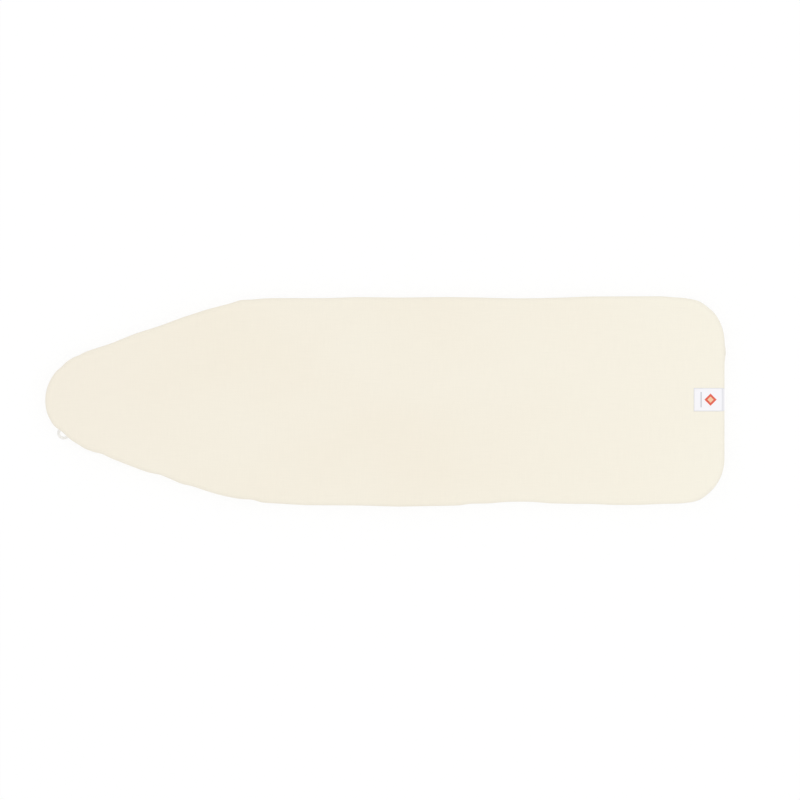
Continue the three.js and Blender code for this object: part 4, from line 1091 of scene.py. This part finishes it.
def cotton_cloth(name, pale, deep, nose, tail):
    """Plain-weave cotton: two tones by broad noise, blended to one at the nose, a painted shade where it is
    darker, and to one at the tail, a painted light where it is lighter, and darker where the yarn is thin.
    Its height is sin(pi u / pitch) sin(pi v / pitch) plus 0.8 of the yarn."""
    made, tree = new_material(name)
    uv = add_node(tree, "ShaderNodeUVMap", uv_map="cloth")
    noises = []
    for u_size, v_size, detail in (
        (TONE_ALONG, TONE_ACROSS, 2.0),
        (SLUB_THICK, SLUB_LONG, 3.0),
        (SLUB_LONG, SLUB_THICK, 3.0),
    ):
        scaled = add_node(tree, "ShaderNodeMapping", {0: uv, "Scale": (1 / u_size, 1 / v_size, 1 / v_size)})
        inputs = {"Vector": scaled, "Scale": 1.0, "Detail": detail}
        noises.append(add_node(tree, "ShaderNodeTexNoise", inputs))
    broad, slub, cross_slub = noises
    along = add_node(tree, "ShaderNodeSeparateXYZ", {0: uv})
    tone = linear(pale)
    for source, (start, stop), hex_value in (
        (broad, (0.35, 0.65), deep),
        (along, NOSE_PAINTED_SHADE_REACH, nose),
        (along, TAIL_PAINTED_LIGHT_REACH, tail),
    ):
        share = add_node(tree, "ShaderNodeMapRange", {0: source, 1: start, 2: stop})
        mix = add_node(tree, "ShaderNodeMix", {0: share, 6: tone, 7: linear(hex_value)}, data_type="RGBA")
        tone = mix.outputs[2]
    yarn = add_node(tree, "ShaderNodeMath", {0: slub, 1: cross_slub}, operation="ADD")
    shade = add_node(tree, "ShaderNodeMapRange", {0: yarn, 1: 0.75, 2: 1.25, 3: 0.98, 4: 1.0})
    tone = add_node(tree, "ShaderNodeVectorMath", {0: tone, "Scale": shade}, operation="SCALE")
    warp, weft = wave(tree, uv, math.pi / THREAD_PITCH, 0.0), wave(tree, uv, 0.0, math.pi / THREAD_PITCH)
    weave = add_node(tree, "ShaderNodeMath", {0: warp, 1: weft}, operation="MULTIPLY")
    height = add_node(tree, "ShaderNodeMath", {0: yarn, 1: 0.8, 2: weave}, operation="MULTIPLY_ADD")
    bump = add_node(tree, "ShaderNodeBump", {"Height": height, "Strength": 0.45, "Distance": WEAVE_DEPTH})
    inputs = {"Base Color": tone, "Normal": bump, "Roughness": 0.92, "IOR": 1.47}
    inputs.update({"Sheen Weight": 0.40, "Sheen Roughness": 0.35})
    shader = add_node(tree, "ShaderNodeBsdfPrincipled", inputs)
    add_node(tree, "ShaderNodeOutputMaterial", {"Surface": shader})
    return made


# The cover's nose tone is darker, a painted shade, and its tail tone lighter, a painted light; the binding
# keeps its own tone.
paint(cover, cotton_cloth("undyed_cotton_canvas", 0xF8F2E3, 0xF7F0E0, nose=0xF7F0E1, tail=0xFAF5E6))
paint(binding, cotton_cloth("cotton_binding_tape", 0xF4ECDA, 0xF0E7D2, nose=0xF4ECDA, tail=0xF4ECDA))
print("cotton ready, thread pitch in mm:", THREAD_PITCH / MM)

# %% [markdown]
# ### Braided cord and sewing thread
#
# The drawstring is a soft polyester braid of sixteen strands: half of them wind round it one way and half
# the other way. On a UV map that goes once round in U and along in V, that is two diagonal waves added, so
# that bumps lie in staggered rows. Strands of real geometry would take a great many faces on a cord this
# thin. Thread is the same fibre, spun hard, and so fine that its lay only shows as a grain of two tones.

# %% Braid and thread
STRANDS_EACH_WAY = 8
BRAID_PITCH = 1.5 * MM


def braided_cord():
    """Two diagonal waves added: the sine of eight turns round plus the length over the pitch, and the sine
    of their difference, with the grooves between the strands painted a little darker, as painted shade."""
    made, tree = new_material("braided_polyester_cord")
    uv = add_node(tree, "ShaderNodeUVMap", uv_map="cloth")
    turned, run = 2 * math.pi * STRANDS_EACH_WAY, 2 * math.pi / BRAID_PITCH
    both_ways = {0: wave(tree, uv, turned, run), 1: wave(tree, uv, turned, -run)}
    braid = add_node(tree, "ShaderNodeMath", both_ways, operation="ADD")
    strands = add_node(tree, "ShaderNodeMapRange", {0: braid, 1: -2.0, 2: 2.0})
    soft = {"Roughness": 0.7, "IOR": 1.53, "Sheen_Weight": 0.15}
    # The darker colour falls in the grooves between the strands: painted shade.
    two_toned(tree, strands, (0xF6F5F2, 0xFFFFFE), relief=(0.55, 0.2 * MM), **soft)
    return made


braid = braided_cord()
for cord_piece in (near_end, far_end, held_cord):
    paint(cord_piece, braid)
thread = grained("polyester_sewing_thread", (0xEFEBE0, 0xFBF9F2), 0.4 * MM, Roughness=0.55, IOR=1.53)
for row in stitch_rows:
    paint(row, thread)
print("cord and thread ready")

# %% [markdown]
# ### Felt and foam
#
# Needle-punched felt is a mat of short fibres. Fine distorted noise reads as tangled fibre, and broad noise
# mottles it slightly, because its fibres are of mixed greys. The foam is open-cell: a Voronoi pattern gives
# its pores.

# %% Felt and foam
FIBRE_TANGLE = 1.54 * MM
FELT_MOTTLE = 28.6 * MM
FOAM_PORE = 0.714 * MM


def needled_felt():
    """Fibre noise plus 0.6 of the mottle, in two greys. The fibres alone raise the surface."""
    made, tree = new_material("needle_punched_felt")
    where = add_node(tree, "ShaderNodeTexCoord").outputs["Object"]
    tangle = {"Vector": where, "Scale": 1 / FIBRE_TANGLE, "Detail": 6.0, "Distortion": 1.0}
    fibres = add_node(tree, "ShaderNodeTexNoise", tangle)
    mottle = add_node(tree, "ShaderNodeTexNoise", {"Vector": where, "Scale": 1 / FELT_MOTTLE, "Detail": 3.0})
    both = add_node(tree, "ShaderNodeMath", {0: mottle, 1: 0.6, 2: fibres}, operation="MULTIPLY_ADD")
    grey = add_node(tree, "ShaderNodeMapRange", {0: both, 1: 0.6, 2: 1.0})
    matt = {"Roughness": 1.0, "IOR": 1.45, "Sheen_Weight": 0.2}
    two_toned(tree, grey, (0xD0CFCA, 0xEAE9E4), relief=(0.8, 0.6 * MM), height=fibres, **matt)
    return made


def open_cell_foam():
    """Pores from the distance to the nearest of many seeded points, with their hollows painted darker, as
    painted shade.
    """
    made, tree = new_material("open_cell_polyurethane_foam")
    where = add_node(tree, "ShaderNodeTexCoord").outputs["Object"]
    pores = add_node(tree, "ShaderNodeTexVoronoi", {"Vector": where, "Scale": 1 / FOAM_PORE})
    # The darker colour falls in the pores' hollows: painted shade.
    two_toned(tree, pores, (0xE2DFD6, 0xF5F3EC), relief=(0.6, 0.4 * MM), Roughness=0.95, IOR=1.5)
    return made


paint(felt, needled_felt())
paint(foam, open_cell_foam())
print("pads ready")

# %% [markdown]
# ### Woven elastic
#
# The strap is a woven elastic with rubber threads along it, so it has ribs lengthwise every 1.6 mm, and
# fine picks of polyester across them every 0.7 mm.

# %% Elastic
RIB_PITCH, PICK_PITCH = 1.6 * MM, 0.7 * MM


def woven_elastic():
    """The sine of two pi u over the ribs' pitch plus 0.35 times that of v over the picks' pitch. The hollows
    between them are painted darker, as painted shade.
    """
    made, tree = new_material("woven_elastic")
    uv = add_node(tree, "ShaderNodeUVMap", uv_map="cloth")
    ribs, picks = wave(tree, uv, 2 * math.pi / RIB_PITCH, 0.0), wave(tree, uv, 0.0, 2 * math.pi / PICK_PITCH)
    both = add_node(tree, "ShaderNodeMath", {0: picks, 1: 0.35, 2: ribs}, operation="MULTIPLY_ADD")
    lines = add_node(tree, "ShaderNodeMapRange", {0: both, 1: -1.35, 2: 1.35})
    ribbed = {"Roughness": 0.85, "IOR": 1.5, "Sheen_Weight": 0.1}
    # The darker colour falls in the hollows between ribs and picks: painted shade.
    two_toned(tree, lines, (0xE3E1DA, 0xF7F6F2), relief=(0.8, 0.3 * MM), **ribbed)
    return made


paint(strap, woven_elastic())
print("elastic ready")

# %% [markdown]
# ### Woven satin
#
# The label is a polyester satin, whose long floats make it smoother and glossier than plain weave, with
# picks 0.35 mm apart. Its marks are woven in, one after the other on the grey of its rim: the white ground
# before and past a grey band, a thin grey stripe, and an orange-red lozenge with a pale middle. Each is the
# region of the UV map where two shares, the distance from its centre over its half length and the distance
# from the label's middle line over its half width, stay under one: the larger of them for a rectangle,
# their sum for a lozenge. A picture could hold the marks too, but these stay sharp close up.

# %% Satin
SATIN_PICK = 0.35 * MM
SATIN_DEPTH = 0.06 * MM
RIM_GREY = 0xEAEAEE
# Centre along the label, half length, half width, how the shares are joined, and the colour.
LABEL_MARKS = [
    (26.15 * MM, 24.75 * MM, 19.8 * MM, "MAXIMUM", 0xF8F7FB),
    (64.5 * MM, 10.0 * MM, 19.8 * MM, "MAXIMUM", 0xF8F7FB),
    (13.3 * MM, 0.9 * MM, 14.0 * MM, "MAXIMUM", 0xB9BCC4),
    (30.5 * MM, 11.2 * MM, 11.2 * MM, "ADD", 0xE4583F),
    (30.5 * MM, 5.824 * MM, 5.824 * MM, "ADD", 0xF6C9A4),
]


def label_satin():
    """White satin with a grey rim and its marks. Its picks are the sine of two pi u over their pitch."""
    made, tree = new_material("polyester_label_satin")
    uv = add_node(tree, "ShaderNodeUVMap", uv_map="cloth")
    tone = linear(RIM_GREY)
    for centre, half_length, half_width, join, hex_value in LABEL_MARKS:
        scaling = {0: uv, 1: (1 / half_length, 1 / half_width, 0.0), 2: (-centre / half_length, 0.0, 0.0)}
        scaled = add_node(tree, "ShaderNodeVectorMath", scaling, operation="MULTIPLY_ADD")
        apart = add_node(tree, "ShaderNodeVectorMath", {0: scaled}, operation="ABSOLUTE")
        shares = add_node(tree, "ShaderNodeSeparateXYZ", {0: apart}).outputs
        reach = add_node(tree, "ShaderNodeMath", {0: shares["X"], 1: shares["Y"]}, operation=join)
        inside = add_node(tree, "ShaderNodeMath", {0: reach, 1: 1.0}, operation="LESS_THAN")
        mix = add_node(tree, "ShaderNodeMix", {0: inside, 6: tone, 7: linear(hex_value)}, data_type="RGBA")
        tone = mix.outputs[2]
    picks = wave(tree, uv, 2 * math.pi / SATIN_PICK, 0.0)
    bump = add_node(tree, "ShaderNodeBump", {"Height": picks, "Strength": 0.25, "Distance": SATIN_DEPTH})
    inputs = {"Base Color": tone, "Normal": bump, "Roughness": 0.42, "IOR": 1.53, "Sheen Weight": 0.1}
    shader = add_node(tree, "ShaderNodeBsdfPrincipled", inputs)
    add_node(tree, "ShaderNodeOutputMaterial", {"Surface": shader})
    return made


paint(label, label_satin())
print("label ready, marks:", len(LABEL_MARKS))

# %% [markdown]
# ### The hard pieces
#
# The CAD pieces keep their shape and only get a finish. The lock and the end piece are moulded white
# acetal: smooth, with a faint ripple from the mould. The clips are pressed steel with bright nickel, whose
# roughness wanders where fingers have dulled it. The spring is bare drawn wire, finely mottled, and the
# grip pads are moulded rubber with a fine dull grain.

# %% Plastic, nickel, wire and rubber
PLASTIC_EDGE, METAL_EDGE = 0.18 * MM, 0.12 * MM

acetal = grained(
    "moulded_acetal",
    (0xF2F2EF, 0xF9F9F7),
    1.11 * MM,
    roughness=(0.34, 0.46),
    relief=(0.15, 0.1 * MM),
    IOR=1.48,
)
nickel = grained(
    "nickel_plated_steel",
    (0xCFCBC2, 0xDCD9D2),
    3.85 * MM,
    detail=4.0,
    roughness=(0.16, 0.34),
    Metallic=1.0,
)
wire = grained("drawn_spring_wire", (0xB9BBBD, 0xD2D4D6), 0.333 * MM, Metallic=1.0, Roughness=0.3)
rubber = grained(
    "moulded_grip_rubber",
    (0xDEDCD3, 0xECEAE2),
    0.556 * MM,
    detail=3.0,
    relief=(0.3, 0.2 * MM),
    Roughness=0.8,
    IOR=1.52,
)
finishes = {
    "cord_lock_barrel": (acetal, PLASTIC_EDGE),
    "cord_lock_button": (acetal, PLASTIC_EDGE),
    "cord_end_piece": (acetal, PLASTIC_EDGE),
    "clip_plate": (nickel, METAL_EDGE),
    "clip_lever": (nickel, METAL_EDGE),
    "clip_pin": (nickel, METAL_EDGE),
    "clip_grip_pad": (rubber, METAL_EDGE),
}
hard_pieces = [
    (piece, *finish)
    for node_name, piece in frame["nodes"].items()
    for start, finish in finishes.items()
    if node_name.startswith(start)
]
paint(spring, wire)
for piece, material, _ in hard_pieces:
    paint(piece, material)
print("hard pieces:", len(hard_pieces))

# %% [markdown]
# ### Rounded edges on the hard pieces
#
# No moulded or pressed edge is perfectly sharp. The rounds could be cut in the CAD model, but being so
# small and so many they would multiply its faces. So the hard pieces keep its points, and modifiers finish
# them: Weld joins the loose triangles, Bevel rounds every edge sharper than a limit, and a small group of
# geometry nodes shades the rest smoothly and keeps only real corners crisp.

# %% Weld, bevel and smooth shading
EDGE_ANGLE = math.radians(35.0)
WELD_DISTANCE = 0.002 * MM


def smooth_by_angle():
    """A node group that shades all faces smooth, then all edges over the angle sharp."""
    group = bpy.data.node_groups.new("smooth_by_angle", "GeometryNodeTree")
    for way in ("INPUT", "OUTPUT"):
        group.interface.new_socket("Geometry", in_out=way, socket_type="NodeSocketGeometry")
    faces = add_node(group, "GeometryNodeSetShadeSmooth", {"Geometry": add_node(group, "NodeGroupInput")})
    angle = add_node(group, "GeometryNodeInputMeshEdgeAngle").outputs["Unsigned Angle"]
    over = add_node(group, "FunctionNodeCompare", {0: angle, 1: EDGE_ANGLE})
    sharp = {"Geometry": faces, "Selection": over, "Shade Smooth": False}
    edges = add_node(group, "GeometryNodeSetShadeSmooth", sharp, domain="EDGE")
    add_node(group, "NodeGroupOutput", {0: edges})
    return group


shading = smooth_by_angle()
for piece, _, edge_width in hard_pieces:
    piece.modifiers.new("weld", "WELD").merge_threshold = WELD_DISTANCE
    bevel = piece.modifiers.new("rounded_edges", "BEVEL")
    bevel.width = edge_width
    bevel.segments = 2
    bevel.limit_method = "ANGLE"
    bevel.angle_limit = EDGE_ANGLE
    piece.modifiers.new("smooth_by_angle", "NODES").node_group = shading
print("rounded:", len(hard_pieces))

# %% [markdown]
# ## Floor and light
#
# The cover lies on a plain white table in a bright white room. The photo's ground is pure white, so the
# table shows mostly plain white to the camera and to mirrors, and keeps a share of its real shading, where
# the shadow falls. All other rays pass through it: the light that a white table would throw back comes
# from the white room below instead, and so it also reaches the underside, which can be looked at from
# below. The lamps are wide and far, which leaves only soft shading at the cloth's edge.

# %% Floor
FLOOR_SIZE = 40.0
FLOOR_DROP = 0.05 * MM
PLAIN_SHARE, PLAIN_STRENGTH = 0.8, 1.03
WHITE = (1.0, 1.0, 1.0, 1.0)

bpy.ops.mesh.primitive_plane_add(size=FLOOR_SIZE, location=(0.0, 0.0, -FLOOR_DROP))
floor = bpy.context.object
floor.name = "floor"
white_table, tree = new_material("white_table")
ray = add_node(tree, "ShaderNodeLightPath").outputs
mirrored = {0: ray["Is Glossy Ray"], 1: ray["Is Transmission Ray"]}
mirrors = add_node(tree, "ShaderNodeMath", mirrored, operation="MAXIMUM")
seen = add_node(tree, "ShaderNodeMath", {0: ray["Is Camera Ray"], 1: mirrors}, operation="MAXIMUM")
below = add_node(tree, "ShaderNodeNewGeometry").outputs["Backfacing"]
above = add_node(tree, "ShaderNodeMath", {0: 1.0, 1: below}, operation="SUBTRACT")
there = add_node(tree, "ShaderNodeMath", {0: seen, 1: above}, operation="MULTIPLY")
lit = add_node(tree, "ShaderNodeBsdfDiffuse", {"Color": linear(0xF4F4F4)})
plain = add_node(tree, "ShaderNodeEmission", {"Color": WHITE, "Strength": PLAIN_STRENGTH})
shown = add_node(tree, "ShaderNodeMixShader", {0: PLAIN_SHARE, 1: lit, 2: plain})
clear = add_node(tree, "ShaderNodeBsdfTransparent")
table = add_node(tree, "ShaderNodeMixShader", {0: there, 1: clear, 2: shown})
add_node(tree, "ShaderNodeOutputMaterial", {"Surface": table})
paint(floor, white_table)
print("floor ready")

# %% World and lamps
ROOM_STRENGTH = 0.887

world = bpy.data.worlds.new("studio")
bpy.context.scene.world = world
world.use_nodes = True
tree = world.node_tree
tree.nodes.clear()
to_camera = add_node(tree, "ShaderNodeLightPath").outputs["Is Camera Ray"]
room = add_node(tree, "ShaderNodeBackground", {"Color": WHITE, "Strength": ROOM_STRENGTH})
backdrop = add_node(tree, "ShaderNodeBackground", {"Color": WHITE, "Strength": 1.0})
both = add_node(tree, "ShaderNodeMixShader", {0: to_camera, 1: room, 2: backdrop})
add_node(tree, "ShaderNodeOutputWorld", {"Surface": both})


def add_lamp(name, location, size, watts):
    """A square area lamp that faces the middle of the cover."""
    data = bpy.data.lights.new(name, "AREA")
    data.size = size
    data.energy = watts
    lamp = bpy.data.objects.new(name, data)
    lamp.location = location
    lamp.rotation_euler = (-lamp.location).to_track_quat("-Z", "Y").to_euler()
    bpy.context.scene.collection.objects.link(lamp)


add_lamp("key_softbox", (0.9, -0.3, 3.4), size=2.4, watts=10.5)
add_lamp("fill_softbox", (-1.2, 0.8, 3.0), size=2.6, watts=5.2)
bpy.context.scene.view_settings.view_transform = "Standard"
print("lamps ready")
